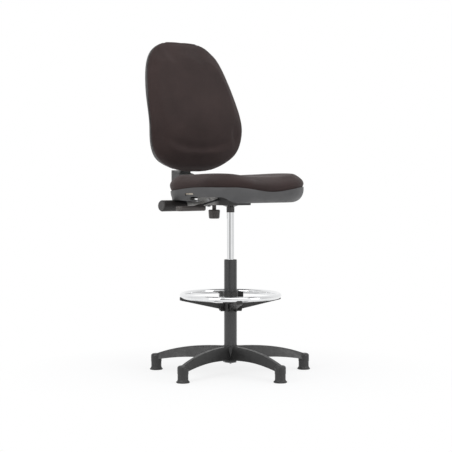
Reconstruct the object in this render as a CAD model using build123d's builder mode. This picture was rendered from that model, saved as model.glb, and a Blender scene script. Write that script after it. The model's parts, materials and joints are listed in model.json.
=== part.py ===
from build123d import *
import os
from math import cos, pi, radians, sin

# Drafting chair. Millimetres, +Z up, origin on the floor at the column axis.
# The sitter faces -Y and has +X on the left hand.

# Fits
press_gap = 0.02
running_gap = 0.05
face_gap = 0.3
slide_gap = 0.1
seam_gap = 0.1
# How far cutters and joined blanks run past a face
overcut = 1.0

# Glides and five-armed base
leg_count = 5
leg_first_angle = 51.0
foot_circle_radius = 308.0
glide_height = 33.0
glide_flange_radius = 25.5
glide_flange_height = 4.0
glide_sole_chamfer = 1.5
glide_neck_flare = 2.0
glide_neck_low = 3.0
glide_neck_high = 8.0
glide_sleeve_radius = 20.0
glide_stem_radius = 5.5
glide_stem_in_foot = 24.0
glide_stem_in_leg = 20.0
boss_radius = 21.0
boss_height = 31.0
boss_round = 9.0
hub_radius = 31.0
hub_bottom = 50.0
hub_top = 108.0
hub_round = 3.0
leg_root_radius = 20.0
leg_root_drop = 2.0
leg_root_bottom = 52.0
leg_end_bottom = 41.0
leg_bow = 8.0
leg_arch_power = 2.55
leg_ridge_root = 10.0
leg_ridge_end = 9.0
leg_skirt_root = 21.0
leg_skirt_end = 17.5
leg_ridge_round = 4.0
leg_wall = 4.0
leg_rib_count = 5
leg_rib_thickness = 3.0
leg_rib_recess = 4.0
leg_rib_seat = 0.2
leg_shares = (0.0, 0.25, 0.5, 0.75, 1.0)
channel_shares = (0.06, 0.3, 0.55, 0.75, 0.93)

# Gas column
column_radius = 25.0
column_wall = 1.8
column_taper = 1.4
column_bottom = 42.0
column_top = 441.0
column_plate = 4.0
bush_length = 80.0
bush_lip = 2.5
bush_lip_margin = 1.0
cylinder_radius = 14.0
cylinder_wall = 1.6
cylinder_bottom = 290.0
cylinder_top = 668.0
cylinder_cap = 8.0
gland_length = 20.0
gland_inset = 2.0
rod_radius = 5.0
rod_neck_radius = 4.0
rod_neck_below = 7.0
piston_bottom = 388.0
piston_length = 12.0
washer_radius = 15.0
washer_thickness = 2.0
ball_radius = 2.5
ball_count = 8
ball_circle_radius = 10.5
cage_thickness = 2.0
cage_width = 6.4
buffer_radius = 12.0
buffer_length = 14.0
clip_radius = 7.5
clip_thickness = 1.4
clip_washer_radius = 11.0
clip_washer_thickness = 1.5

# Foot ring and its four-armed carrier
ring_plane = 304.0
ring_radius = 188.0
ring_tube_radius = 10.0
ring_tube_wall = 1.5
arm_count = 4
arm_first_angle = -30.0
arm_width = 26.0
arm_end_reach = 11.0
arm_end_depth = 17.0
arm_saddle_depth = 6.0
arm_neck = 8.0
arm_root_top = 273.0
arm_root_bottom = 253.0
arm_root_reach = 48.0
sleeve_wall = 4.0
sleeve_bottom = 243.0
sleeve_top = 317.0
gusset_count = 8
gusset_thickness = 4.0
gusset_lower_reach = 44.0
gusset_upper_reach = 53.0
ring_screw_radius = 2.0
ring_screw_head_radius = 4.2
ring_screw_head = 3.0
ring_screw_bite = 3.0
ring_screw_access = 20.0
clamp_angle = 50.0
clamp_reach = 39.0
clamp_slit = 3.0
clamp_slit_bottom = 277.0
lug_height = 26.0
lug_outer_reach = 49.0
lug_long = 46.0
lug_short = 22.0
lug_round = 6.0
stud_radius = 4.0
nut_width = 13.0
nut_thickness = 7.0
clamp_knob_radius = 13.0
clamp_knob_length = 28.0
clamp_knob_flutes = 6
clamp_knob_flute_radius = 3.0
clamp_knob_round = 1.5

# Tilt mechanism under the seat
mech_half_width = 60.0
mech_front = -60.0
mech_rear = 130.0
mech_floor_rear = 118.0
mech_floor = 655.0
mech_height = 34.0
mech_wall = 2.5
mech_corner = 14.0
flare_radius = 34.0
flare_drop = 7.0
socket_bottom = 627.0
socket_wall = 1.5
socket_shoulder = 6.0
plate_thickness = 4.0
plate_width = 190.0
plate_depth = 210.0
plate_center = 20.0
tilt_pivot_y = 60.0
tilt_pivot_z = 672.0
tilt_pin_radius = 6.0
tilt_pin_head_radius = 9.0
tilt_pin_head = 3.0
bracket_half_width = 49.0
bracket_ear = 8.0
bracket_eye_radius = 12.0
bracket_plate = 4.0
bracket_plate_rise = 4.0
bracket_plate_front = 7.0
bracket_step_y = 126.0
bracket_end_y = 190.0

# Height lever and gas valve
lever_pivot_x = -32.0
lever_pivot_z = 679.0
lever_pivot_radius = 3.0
lever_ear = 3.0
lever_ear_half = 8.0
lever_ear_depth = 16.0
lever_ear_drop = 7.0
release_arm_half = 6.0
release_arm_rise = 4.0
release_arm_tip = 6.0
lever_wire_radius = 4.0
lever_bend_x = -52.0
lever_entry_x = -192.0
lever_wire_end = -245.0
lever_bend_round = 14.0
lever_slot_height = 14.0
lever_slot_width = 11.0
lever_slot_lift = 1.4
paddle_inner_x = -130.0
paddle_outer_x = -262.0
paddle_center_z = 645.0
paddle_thickness = 19.0
paddle_width = 32.0
paddle_round = 7.0
paddle_boss_radius = 7.5
paddle_boss_start = -145.0
paddle_boss_length = 45.0
paddle_corner = 12.0
valve_pin_radius = 3.0
valve_pin_length = 30.0

# Back lock grip and tension hand wheel
handle_y = 100.0
handle_z = 654.0
handle_tube_radius = 15.0
handle_tube_length = 86.0
handle_tube_round = 2.0
handle_shaft_radius = 6.0
handle_shaft_inside = 8.0
handle_gap = 2.0
grip_radius = 21.5
grip_length = 112.0
grip_collar_radius = 18.5
grip_collar_length = 12.0
grip_floor = 6.0
grip_round = 2.5
handle_cap_radius = 19.0
handle_cap_thickness = 3.0
lobe_half = 19.0
knob_y = 100.0
knob_bottom = 600.0
knob_height = 35.0
knob_top_radius = 23.0
knob_bottom_radius = 21.0
knob_round = 3.0
knob_flute_count = 10
knob_flute_radius = 3.2
knob_stem_radius = 8.0
knob_stem_gap = 1.0
tension_screw_radius = 5.0
tension_screw_tip = 663.0
tension_screw_in_knob = 27.0
spring_seat_radius = 15.0
spring_seat_thickness = 2.0
spring_mean_radius = 11.0
spring_wire_radius = 1.6
spring_turns = 3

# Seat
seat_width = 460.0
seat_depth = 430.0
seat_center_y = -39.0
seat_corner = 140.0
seat_corner_share = 0.48
pan_wall = 4.0
pan_web = 3.0
pan_front_bottom = 666.0
pan_rear_bottom = 680.0
pan_floor_margin = 12.0
pan_curve_top = 716.0
pan_curve_height = 52.0
pan_draw_side = 36.0
pan_draw_front = 58.0
pan_draw_rear = 20.0
pan_mouth_side = 62.0
pan_mouth_front = 92.0
pan_mouth_rear = 28.0
rim_rear = 709.0
rim_rear_lift = 1.0
rim_side = 724.0
rim_corner = 727.0
rim_corner_drop = 0.5
pan_wall_shares = (0.0, 0.12, 0.28, 0.48, 0.72, 1.0)
rim_front = 709.0
arch_front_y = -197.0
arch_rear_y = -27.0
arch_top = 690.0
arch_round = 16.0
recess_front_y = -54.0
recess_rear_y = -4.0
recess_bottom = 691.5
recess_height = 12.0
recess_depth = 6.0
board_thickness = 12.0
board_margin = 0.6
seat_bolt_radius = 3.0
seat_bolt_head_radius = 5.5
seat_bolt_head = 4.0
seat_bolt_spacing_x = 160.0
seat_bolt_spacing_y = 170.0
seat_bolt_bite = 10.0
seat_cushion_height = 70.0
seat_draw_in = 9.0
seat_waist = 6.0
seat_bulge = 2.0
seat_crown_side = 70.0
seat_crown_front = 130.0

# Back bar and cover
bar_half_width = 25.0
bar_thickness = 8.0
bar_start_y = 132.0
bar_bottom = 650.0
bar_front_y = 282.0
bar_bend = 26.0
bar_top = 935.0
bar_bolt_radius = 4.0
bar_bolt_head_radius = 7.0
bar_bolt_head = 5.0
bar_bolt_spacing_x = 24.0
bar_bolt_spacing_y = 26.0
cover_half_width = 38.0
cover_start_y = 200.0
cover_front = 10.0
cover_rear = 41.0
cover_over = 6.0
cover_under = 10.0
cover_front_top = 776.0
cover_rear_top = 791.0
cover_round = 6.0

# Backrest
back_bottom = 788.0
back_crown = 8.0
back_rear_crown = 4.0
back_side_bulge = 4.0
back_height = 516.0
back_board_thickness = 8.0
back_shell_wall = 3.5
back_parting = 0.64
parting_lean = 10.0
parting_overrun = 50.0
carriage_bottom = 797.0
carriage_top = 955.0
carriage_half_width = 36.0
carriage_rear_wall = 14.0
carriage_front_reach = 80.0
carriage_flange = 8.0
carriage_bolt_sink = 4.0
carriage_cap = 8.0
carriage_flange_half = 60.0
carriage_round = 8.0
carriage_bolt_radius = 2.5
carriage_bolt_head_radius = 5.0
carriage_bolt_head = 3.0
carriage_bolt_x = 48.0
carriage_bolt_inset = 30.0
carriage_bolt_stop = 3.0
carriage_bolt_access = 12.0

# Heights and depths that follow from the sizes above
boss_top = glide_height + boss_height
column_inner = column_radius - column_wall
cylinder_inner = cylinder_radius - cylinder_wall
bearing_floor = column_bottom + column_plate
ball_center = bearing_floor + washer_thickness + press_gap + ball_radius
bearing_top = ball_center + ball_radius + press_gap
shoulder = bearing_top + washer_thickness
sleeve_inner = column_radius + running_gap
sleeve_outer = sleeve_inner + sleeve_wall
mech_top = mech_floor + mech_height
web_bottom = mech_top + plate_thickness
web_top = web_bottom + pan_web
board_top = web_top + board_thickness
seat_rear = seat_center_y + seat_depth / 2
seat_front = seat_center_y - seat_depth / 2
valve_top = lever_pivot_z - release_arm_rise - face_gap
bracket_rear_bottom = bar_bottom + bar_thickness
bracket_front_bottom = tilt_pivot_z + bracket_plate_rise
bar_rear_y = bar_front_y + bar_thickness
spring_bottom = mech_floor + mech_wall + spring_seat_thickness

os.makedirs("parts", exist_ok=True)


def save(piece, name):
    """Label a finished piece and write it as its own file."""
    piece.part.label = name
    export_step(piece.part, f"parts/{name}.step")


def turned(*profile):
    """Revolve a closed outline of (radius, height) corners about the column axis."""
    with BuildPart() as piece:
        with BuildSketch(Plane.XZ):
            with BuildLine():
                Polyline(*profile, close=True)
            make_face()
        revolve(axis=Axis.Z)
    return piece


def sleeve(inner, outer, bottom, top):
    """A plain round sleeve on the column axis."""
    return turned((inner, bottom), (outer, bottom), (outer, top), (inner, top))


def rims(piece, radius):
    """Round edges of a piece that reach a given radius."""
    return piece.edges().filter_by(GeomType.CIRCLE).filter_by(lambda e: e.radius > radius - press_gap)


# Glide feet: a flanged sole under a plain sleeve, each with its pressed-in stem
def glide_foot(angle):
    with BuildPart() as foot:
        with BuildSketch(Plane.XZ):
            with BuildLine():
                Polyline(
                    (0, 0),
                    (glide_flange_radius - glide_sole_chamfer, 0),
                    (glide_flange_radius, glide_sole_chamfer),
                    (glide_flange_radius, glide_flange_height),
                    (glide_sleeve_radius + glide_neck_flare, glide_flange_height + glide_neck_low),
                    (glide_sleeve_radius, glide_flange_height + glide_neck_high),
                    (glide_sleeve_radius, glide_height),
                    (0, glide_height),
                    close=True,
                )
            make_face()
        revolve(axis=Axis.Z)
        with BuildSketch(Plane.XY.offset(glide_height)):
            Circle(glide_stem_radius + press_gap)
        extrude(amount=-glide_stem_in_foot, mode=Mode.SUBTRACT)
    x = foot_circle_radius * cos(radians(angle))
    y = foot_circle_radius * sin(radians(angle))
    return foot.part.moved(Location((x, y, 0)))


leg_angles = [leg_first_angle + i * 360 / leg_count for i in range(leg_count)]
for number, leg_angle in enumerate(leg_angles, start=1):
    foot_part = glide_foot(leg_angle)
    foot_part.label = f"glide_foot_{number}"
    export_step(foot_part, f"parts/glide_foot_{number}.step")

with BuildPart() as glide_stems:
    with BuildSketch(Plane.XY.offset(glide_height - glide_stem_in_foot)):
        with PolarLocations(foot_circle_radius, leg_count, leg_first_angle):
            Circle(glide_stem_radius)
    extrude(amount=glide_stem_in_foot + glide_stem_in_leg)
save(glide_stems, "glide_stems")


# Five-armed base: each arm is a hollow arched beam with cross ribs under its skin
def leg_corners(t, wall):
    """Corners of the arm's cross-section at a share t of its length, drawn in by a wall."""
    root_top = hub_top - leg_root_drop
    ridge = leg_ridge_root + (leg_ridge_end - leg_ridge_root) * t - wall / 2
    skirt = leg_skirt_root + (leg_skirt_end - leg_skirt_root) * t - wall
    fall = t**leg_arch_power
    top = root_top - (root_top - boss_top) * fall - wall
    bottom = leg_root_bottom + leg_bow * sin(pi * t) - (leg_root_bottom - leg_end_bottom) * fall
    low = bottom - (overcut if wall else 0)
    return (-skirt, low), (skirt, low), (ridge, top), (-ridge, top)


def leg_plane(t):
    """Upright plane across the arm at a share t of its length."""
    station = leg_root_radius + (foot_circle_radius - leg_root_radius) * t
    return Plane(origin=(station, 0, 0), x_dir=(0, 1, 0), z_dir=(1, 0, 0))


def leg_face(t, wall):
    """Closed cross-section of the arm with its ridge corners rounded."""
    corners = leg_corners(t, wall)
    with BuildSketch(leg_plane(t)) as section:
        with BuildLine():
            Polyline(*corners, close=True)
        make_face()
        fillet(section.vertices().group_by(Axis.Y)[-1], leg_ridge_round - wall / 2)
    return section.sketch


with BuildPart() as leg:
    loft([leg_face(t, 0) for t in leg_shares])
    loft([leg_face(t, leg_wall) for t in channel_shares], mode=Mode.SUBTRACT)
    rib_pitch = (channel_shares[-1] - channel_shares[0]) / (leg_rib_count + 1)
    for i in range(leg_rib_count):
        rib_share = channel_shares[0] + rib_pitch * (i + 1)
        (x_low, z_low), _, (x_high, z_high), _ = leg_corners(rib_share, leg_wall / 2)
        with BuildSketch(leg_plane(rib_share)):
            with BuildLine():
                Polyline(
                    (x_low + leg_rib_seat, z_low + leg_rib_recess),
                    (-x_low - leg_rib_seat, z_low + leg_rib_recess),
                    (x_high, z_high),
                    (-x_high, z_high),
                    close=True,
                )
            make_face()
        extrude(amount=leg_rib_thickness)
    with BuildSketch(Plane.XY.offset(glide_height)):
        with Locations((foot_circle_radius, 0)):
            Circle(boss_radius)
    extrude(amount=boss_height)
    fillet(rims(leg, boss_radius).sort_by(Axis.Z)[-1:], boss_round)

column_slope = column_taper / (hub_top - column_bottom)
bore_foot = column_radius + press_gap - column_slope * (hub_top - hub_bottom + overcut)
with BuildPart() as base_star:
    with BuildSketch(Plane.XY.offset(hub_bottom)):
        Circle(hub_radius)
    extrude(amount=hub_top - hub_bottom)
    fillet(base_star.edges().group_by(Axis.Z)[-1], hub_round)
    with PolarLocations(0, leg_count, leg_first_angle):
        add(leg.part)
    with BuildSketch(Plane.XZ):
        with BuildLine():
            Polyline(
                (0, hub_bottom - overcut),
                (bore_foot, hub_bottom - overcut),
                (column_radius + press_gap, hub_top),
                (column_radius + press_gap, hub_top + overcut),
                (0, hub_top + overcut),
                close=True,
            )
        make_face()
    revolve(axis=Axis.Z, mode=Mode.SUBTRACT)
    with BuildSketch(Plane.XY.offset(glide_height)):
        with PolarLocations(foot_circle_radius, leg_count, leg_first_angle):
            Circle(glide_stem_radius + press_gap)
    extrude(amount=glide_stem_in_leg, mode=Mode.SUBTRACT)
save(base_star, "base_star")

# Gas column: tapered tube with a floor plate, guide bush at the top and thrust bearing at the bottom
gas_column = turned(
    (rod_neck_radius + running_gap, column_bottom),
    (column_radius - column_taper, column_bottom),
    (column_radius, hub_top),
    (column_radius, column_top),
    (column_inner, column_top),
    (column_inner, hub_top),
    (column_inner - column_taper, bearing_floor),
    (rod_neck_radius + running_gap, bearing_floor),
)
save(gas_column, "gas_column")

bush_inner = cylinder_radius + running_gap
column_bush = turned(
    (bush_inner, column_top - bush_length),
    (column_inner - press_gap, column_top - bush_length),
    (column_inner - press_gap, column_top),
    (column_radius - bush_lip_margin, column_top),
    (column_radius - bush_lip_margin, column_top + bush_lip),
    (bush_inner, column_top + bush_lip),
)
save(column_bush, "column_bush")

neck_bore = rod_neck_radius + running_gap
bearing_washer_lower = sleeve(neck_bore, washer_radius, bearing_floor, bearing_floor + washer_thickness)
save(bearing_washer_lower, "bearing_washer_lower")

with BuildPart() as bearing_cage:
    with BuildSketch(Plane.XY.offset(ball_center - cage_thickness / 2)):
        Circle(ball_circle_radius + cage_width / 2)
        Circle(ball_circle_radius - cage_width / 2, mode=Mode.SUBTRACT)
        with PolarLocations(ball_circle_radius, ball_count):
            Circle(ball_radius + running_gap, mode=Mode.SUBTRACT)
    extrude(amount=cage_thickness)
save(bearing_cage, "bearing_cage")

with BuildPart() as bearing_balls:
    with Locations((0, 0, ball_center)):
        with PolarLocations(ball_circle_radius, ball_count):
            Sphere(ball_radius)
save(bearing_balls, "bearing_balls")

# Piston rod: stands on the thrust bearing, clipped below the floor plate
bearing_washer_upper = sleeve(rod_neck_radius + press_gap, washer_radius, bearing_top, shoulder)
save(bearing_washer_upper, "bearing_washer_upper")

rod_foot = column_bottom - rod_neck_below
clip_top = column_bottom - face_gap - clip_washer_thickness
piston_rod = turned(
    (0, rod_foot),
    (rod_neck_radius, rod_foot),
    (rod_neck_radius, shoulder),
    (rod_radius, shoulder),
    (rod_radius, piston_bottom + piston_length),
    (0, piston_bottom + piston_length),
)
save(piston_rod, "piston_rod")

piston_top = piston_bottom + piston_length
piston = sleeve(rod_radius + press_gap, cylinder_inner - running_gap, piston_bottom, piston_top)
save(piston, "piston")

rod_buffer = sleeve(rod_radius + press_gap, buffer_radius, shoulder, shoulder + buffer_length)
save(rod_buffer, "rod_buffer")

clip_washer_top = clip_top + clip_washer_thickness
clip_washer = sleeve(rod_neck_radius + press_gap, clip_washer_radius, clip_top, clip_washer_top)
save(clip_washer, "clip_washer")

rod_clip = sleeve(rod_neck_radius + press_gap, clip_radius, clip_top - clip_thickness, clip_top)
save(rod_clip, "rod_clip")

# Gas cylinder with its gland, and the valve pin in its cap
gas_cylinder = turned(
    (cylinder_inner, cylinder_bottom),
    (cylinder_radius, cylinder_bottom),
    (cylinder_radius, cylinder_top),
    (valve_pin_radius + running_gap, cylinder_top),
    (valve_pin_radius + running_gap, cylinder_top - cylinder_cap),
    (cylinder_inner, cylinder_top - cylinder_cap),
)
save(gas_cylinder, "gas_cylinder")

gland_bottom = cylinder_bottom + gland_inset
cylinder_gland = sleeve(
    rod_radius + running_gap, cylinder_inner - press_gap, gland_bottom, gland_bottom + gland_length
)
save(cylinder_gland, "cylinder_gland")

valve_pin = turned(
    (0, valve_top - valve_pin_length),
    (valve_pin_radius, valve_top - valve_pin_length),
    (valve_pin_radius, valve_top),
    (0, valve_top),
)
save(valve_pin, "valve_pin")

# Foot ring: a bent tube, drilled from below for the carrier's screws
arm_screw_bottom = ring_plane - arm_end_depth
with BuildPart() as foot_ring:
    with BuildSketch(Plane.XZ):
        with Locations((ring_radius, ring_plane)):
            Circle(ring_tube_radius)
            Circle(ring_tube_radius - ring_tube_wall, mode=Mode.SUBTRACT)
    revolve(axis=Axis.Z)
    with BuildSketch(Plane.XY.offset(ring_plane - ring_tube_radius - overcut)):
        with PolarLocations(ring_radius, arm_count, arm_first_angle):
            Circle(ring_screw_radius + press_gap)
    extrude(amount=ring_tube_wall + 2 * overcut, mode=Mode.SUBTRACT)
save(foot_ring, "foot_ring")

# Carrier: a sleeve with four rising arms that cup the ring, gussets and a split clamp
arm_end = ring_radius + arm_end_reach
arm_inside = ring_radius - arm_end_reach
saddle_top = ring_plane - arm_saddle_depth
with BuildPart() as spider_arm:
    with BuildSketch(Plane.XZ):
        with BuildLine():
            Polyline(
                (sleeve_inner + overcut, arm_root_bottom),
                (arm_root_reach, arm_root_bottom),
                (arm_end, ring_plane - arm_end_depth),
                (arm_end, saddle_top),
                (arm_inside, saddle_top),
                (arm_inside - arm_neck, saddle_top - arm_neck),
                (arm_root_reach, arm_root_top),
                (sleeve_inner + overcut, arm_root_top),
                close=True,
            )
        make_face()
    extrude(amount=arm_width / 2, both=True)
    fillet(spider_arm.edges().filter_by(Axis.Z).group_by(Axis.X)[-1], arm_width / 3)

with BuildPart() as gusset:
    with BuildSketch(Plane.XZ):
        with BuildLine():
            Polyline(
                (sleeve_inner + overcut, sleeve_bottom),
                (gusset_lower_reach, sleeve_bottom),
                (gusset_upper_reach, arm_root_top),
                (sleeve_inner + overcut, arm_root_top),
                close=True,
            )
        make_face()
    extrude(amount=gusset_thickness / 2, both=True)

lug_bottom = ring_plane - lug_height / 2
with BuildPart() as clamp_lugs:
    with BuildSketch(Plane.XY.offset(lug_bottom)):
        with BuildLine():
            Polyline(
                (sleeve_inner + overcut, lug_long - lug_round),
                (lug_outer_reach, lug_long),
                (lug_outer_reach, -lug_short),
                (0, -lug_short),
                (0, lug_short),
                close=True,
            )
        make_face()
    extrude(amount=lug_height)
    fillet(clamp_lugs.edges().filter_by(Axis.Z).group_by(Axis.X)[-1], lug_round)

slit_length = lug_outer_reach + 2 * overcut
clamp_across = (sin(radians(clamp_angle)), -cos(radians(clamp_angle)), 0)
clamp_plane = Plane(
    origin=(clamp_reach * cos(radians(clamp_angle)), clamp_reach * sin(radians(clamp_angle)), ring_plane),
    x_dir=(0, 0, 1),
    z_dir=clamp_across,
)
with BuildPart() as ring_spider:
    with BuildSketch(Plane.XY.offset(sleeve_bottom)):
        Circle(sleeve_outer)
    extrude(amount=sleeve_top - sleeve_bottom)
    with PolarLocations(0, arm_count, arm_first_angle):
        add(spider_arm.part)
    with PolarLocations(0, gusset_count, arm_first_angle + 180 / gusset_count):
        add(gusset.part)
    add(clamp_lugs.part, rotation=(0, 0, clamp_angle))
    with BuildSketch(Plane.XY.offset(sleeve_bottom - overcut)):
        Circle(sleeve_inner)
    extrude(amount=sleeve_top - sleeve_bottom + 2 * overcut, mode=Mode.SUBTRACT)
    with BuildSketch(Plane.XZ):
        with Locations((ring_radius, ring_plane)):
            Circle(ring_tube_radius + press_gap)
    revolve(axis=Axis.Z, mode=Mode.SUBTRACT)
    with BuildSketch(Plane.XY.offset(clamp_slit_bottom).rotated((0, 0, clamp_angle))):
        with Locations((slit_length / 2, 0)):
            Rectangle(slit_length, clamp_slit)
    extrude(amount=sleeve_top, mode=Mode.SUBTRACT)
    with BuildSketch(clamp_plane.offset(-lug_long - overcut)):
        Circle(stud_radius + running_gap)
    extrude(amount=lug_long + lug_short + 2 * overcut, mode=Mode.SUBTRACT)
    with BuildSketch(clamp_plane.offset(-lug_long - overcut)):
        RegularPolygon(nut_width / 2 + press_gap, 6, major_radius=False)
    extrude(amount=nut_thickness + overcut, mode=Mode.SUBTRACT)
    with BuildSketch(Plane.XY.offset(arm_screw_bottom - ring_screw_access)):
        with PolarLocations(ring_radius, arm_count, arm_first_angle):
            Circle(ring_screw_head_radius + press_gap)
    extrude(amount=ring_screw_access + ring_screw_head, mode=Mode.SUBTRACT)
    with BuildSketch(Plane.XY.offset(arm_screw_bottom)):
        with PolarLocations(ring_radius, arm_count, arm_first_angle):
            Circle(ring_screw_radius + press_gap)
    extrude(amount=arm_end_depth, mode=Mode.SUBTRACT)
save(ring_spider, "ring_spider")

with BuildPart() as ring_screws:
    with BuildSketch(Plane.XY.offset(arm_screw_bottom)):
        with PolarLocations(ring_radius, arm_count, arm_first_angle):
            Circle(ring_screw_head_radius)
    extrude(amount=ring_screw_head)
    with BuildSketch(Plane.XY.offset(arm_screw_bottom)):
        with PolarLocations(ring_radius, arm_count, arm_first_angle):
            Circle(ring_screw_radius)
    extrude(amount=arm_end_depth - ring_tube_radius + ring_tube_wall + ring_screw_bite)
save(ring_screws, "ring_screws")

with BuildPart() as clamp_nut:
    with BuildSketch(clamp_plane.offset(-lug_long)):
        RegularPolygon(nut_width / 2, 6, major_radius=False)
        Circle(stud_radius + running_gap, mode=Mode.SUBTRACT)
    extrude(amount=nut_thickness)
save(clamp_nut, "clamp_nut")

knob_seat = lug_short + face_gap
with BuildPart() as clamp_stud:
    with BuildSketch(clamp_plane.offset(-lug_long)):
        Circle(stud_radius)
    extrude(amount=lug_long + knob_seat + clamp_knob_length / 2)
save(clamp_stud, "clamp_stud")

with BuildPart() as clamp_knob:
    with BuildSketch(clamp_plane.offset(knob_seat)):
        Circle(clamp_knob_radius)
        with PolarLocations(clamp_knob_radius + clamp_knob_flute_radius / 2, clamp_knob_flutes):
            Circle(clamp_knob_flute_radius, mode=Mode.SUBTRACT)
    extrude(amount=clamp_knob_length)
    knob_faces = clamp_knob.faces().sort_by(Axis(clamp_plane.origin, clamp_across))
    fillet(knob_faces[-1].edges(), clamp_knob_round)
    with BuildSketch(clamp_plane.offset(knob_seat)):
        Circle(stud_radius + press_gap)
    extrude(amount=clamp_knob_length / 2, mode=Mode.SUBTRACT)
save(clamp_knob, "clamp_knob")

# Mechanism housing: a pressed box, open at the rear, with a flared column socket in its floor
socket_inner = cylinder_radius + press_gap
socket_outer = socket_inner + socket_wall
mech_length = mech_rear - mech_front
mech_center = (mech_front + mech_rear) / 2
inner_half = mech_half_width - mech_wall
lever_ear_y = lever_ear_half + lever_ear / 2
lever_slope = (lever_pivot_z - paddle_center_z) / (lever_bend_x - lever_entry_x)
slot_z = lever_pivot_z - (mech_half_width + lever_bend_x) * lever_slope + lever_slot_lift
with BuildPart() as mech_housing:
    with BuildSketch(Plane.XY.offset(mech_floor)) as outline:
        with Locations((0, mech_center)):
            Rectangle(2 * mech_half_width, mech_length)
        fillet(outline.vertices().group_by(Axis.Y)[0], mech_corner)
    extrude(amount=mech_height)
    with BuildSketch(Plane.YZ.offset(-mech_half_width)):
        with Locations((handle_y, handle_z)):
            Circle(lobe_half)
    extrude(amount=mech_wall)
    with BuildSketch(Plane.XY.offset(mech_floor + mech_wall)) as hollow:
        with Locations((0, mech_center + mech_wall)):
            Rectangle(2 * inner_half, mech_length)
        fillet(hollow.vertices().group_by(Axis.Y)[0], mech_corner - mech_wall)
    extrude(amount=mech_height - 2 * mech_wall, mode=Mode.SUBTRACT)
    with BuildSketch(Plane.XY.offset(mech_floor)):
        with Locations((0, (mech_floor_rear + mech_rear) / 2)):
            Rectangle(2 * inner_half, mech_rear - mech_floor_rear)
    extrude(amount=mech_wall, mode=Mode.SUBTRACT)
    with BuildSketch(Plane.XY.offset(mech_floor)):
        Circle(socket_outer + press_gap)
        with Locations((0, knob_y)):
            Circle(tension_screw_radius + running_gap)
    extrude(amount=mech_wall, mode=Mode.SUBTRACT)
    with BuildSketch(Plane.XY.offset(lever_pivot_z - lever_ear_drop)):
        with Locations((lever_pivot_x, lever_ear_y), (lever_pivot_x, -lever_ear_y)):
            Rectangle(lever_ear_depth, lever_ear)
    extrude(amount=mech_top - mech_wall / 2 - lever_pivot_z + lever_ear_drop)
    with BuildSketch(Plane.XZ):
        with Locations((lever_pivot_x, lever_pivot_z)):
            Circle(lever_pivot_radius + press_gap)
    extrude(amount=lever_ear_half + lever_ear, both=True, mode=Mode.SUBTRACT)
    with BuildSketch(Plane.YZ):
        with Locations((tilt_pivot_y, tilt_pivot_z)):
            Circle(tilt_pin_radius + press_gap)
    extrude(amount=mech_half_width, both=True, mode=Mode.SUBTRACT)
    with BuildSketch(Plane.YZ.offset(-mech_half_width)):
        with Locations((handle_y, handle_z)):
            Circle(handle_shaft_radius + running_gap)
        with Locations((0, slot_z)):
            Rectangle(lever_slot_width, lever_slot_height)
    extrude(amount=handle_shaft_inside + running_gap, mode=Mode.SUBTRACT)
save(mech_housing, "mech_housing")

taper_socket = turned(
    (socket_inner, socket_bottom),
    (socket_outer, socket_bottom),
    (socket_outer, mech_floor - flare_drop),
    (flare_radius, mech_floor - seam_gap),
    (socket_outer, mech_floor - seam_gap),
    (socket_outer, mech_floor + mech_wall),
    (socket_outer + socket_shoulder, mech_floor + mech_wall),
    (socket_outer + socket_shoulder, cylinder_top),
    (socket_inner, cylinder_top),
)
save(taper_socket, "taper_socket")

with BuildPart() as mounting_plate:
    with BuildSketch(Plane.XY.offset(mech_top)):
        with Locations((0, plate_center)):
            RectangleRounded(plate_width, plate_depth, mech_corner)
            with GridLocations(seat_bolt_spacing_x, seat_bolt_spacing_y, 2, 2):
                Circle(seat_bolt_radius + press_gap, mode=Mode.SUBTRACT)
    extrude(amount=plate_thickness)
save(mounting_plate, "mounting_plate")

# Pivot of the tilt bracket, with a head outside each cheek
with BuildPart() as tilt_pin:
    with BuildSketch(Plane.YZ):
        with Locations((tilt_pivot_y, tilt_pivot_z)):
            Circle(tilt_pin_radius)
    extrude(amount=mech_half_width, both=True)
    for head_start in (mech_half_width, -mech_half_width - tilt_pin_head):
        with BuildSketch(Plane.YZ.offset(head_start)):
            with Locations((tilt_pivot_y, tilt_pivot_z)):
                Circle(tilt_pin_head_radius)
        extrude(amount=tilt_pin_head)
save(tilt_pin, "tilt_pin")

# Height lever: an arm over the valve pin, a bent wire and a paddle on its end
with BuildPart() as lever_pivot:
    with BuildSketch(Plane.XZ):
        with Locations((lever_pivot_x, lever_pivot_z)):
            Circle(lever_pivot_radius)
    extrude(amount=lever_ear_half + lever_ear, both=True)
save(lever_pivot, "lever_pivot")

arm_start = lever_pivot_x - lever_ear_depth / 2
with BuildPart() as release_arm:
    with BuildSketch(Plane.XZ):
        with Locations(((arm_start + release_arm_tip) / 2, lever_pivot_z)):
            Rectangle(release_arm_tip - arm_start, 2 * release_arm_rise)
        with Locations((lever_pivot_x, lever_pivot_z)):
            Circle(lever_pivot_radius + running_gap, mode=Mode.SUBTRACT)
    extrude(amount=release_arm_half, both=True)
save(release_arm, "release_arm")


def lever_wire(radius):
    """The bent wire of the height lever at a given radius."""
    with BuildPart() as wire:
        with BuildLine() as route:
            FilletPolyline(
                (arm_start, 0, lever_pivot_z),
                (lever_bend_x, 0, lever_pivot_z),
                (lever_entry_x, 0, paddle_center_z),
                (lever_wire_end, 0, paddle_center_z),
                radius=lever_bend_round,
            )
        with BuildSketch(Plane(origin=route.line @ 0, z_dir=route.line % 0)):
            Circle(radius)
        sweep()
    return wire


lever_rod = lever_wire(lever_wire_radius)
save(lever_rod, "lever_rod")

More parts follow.
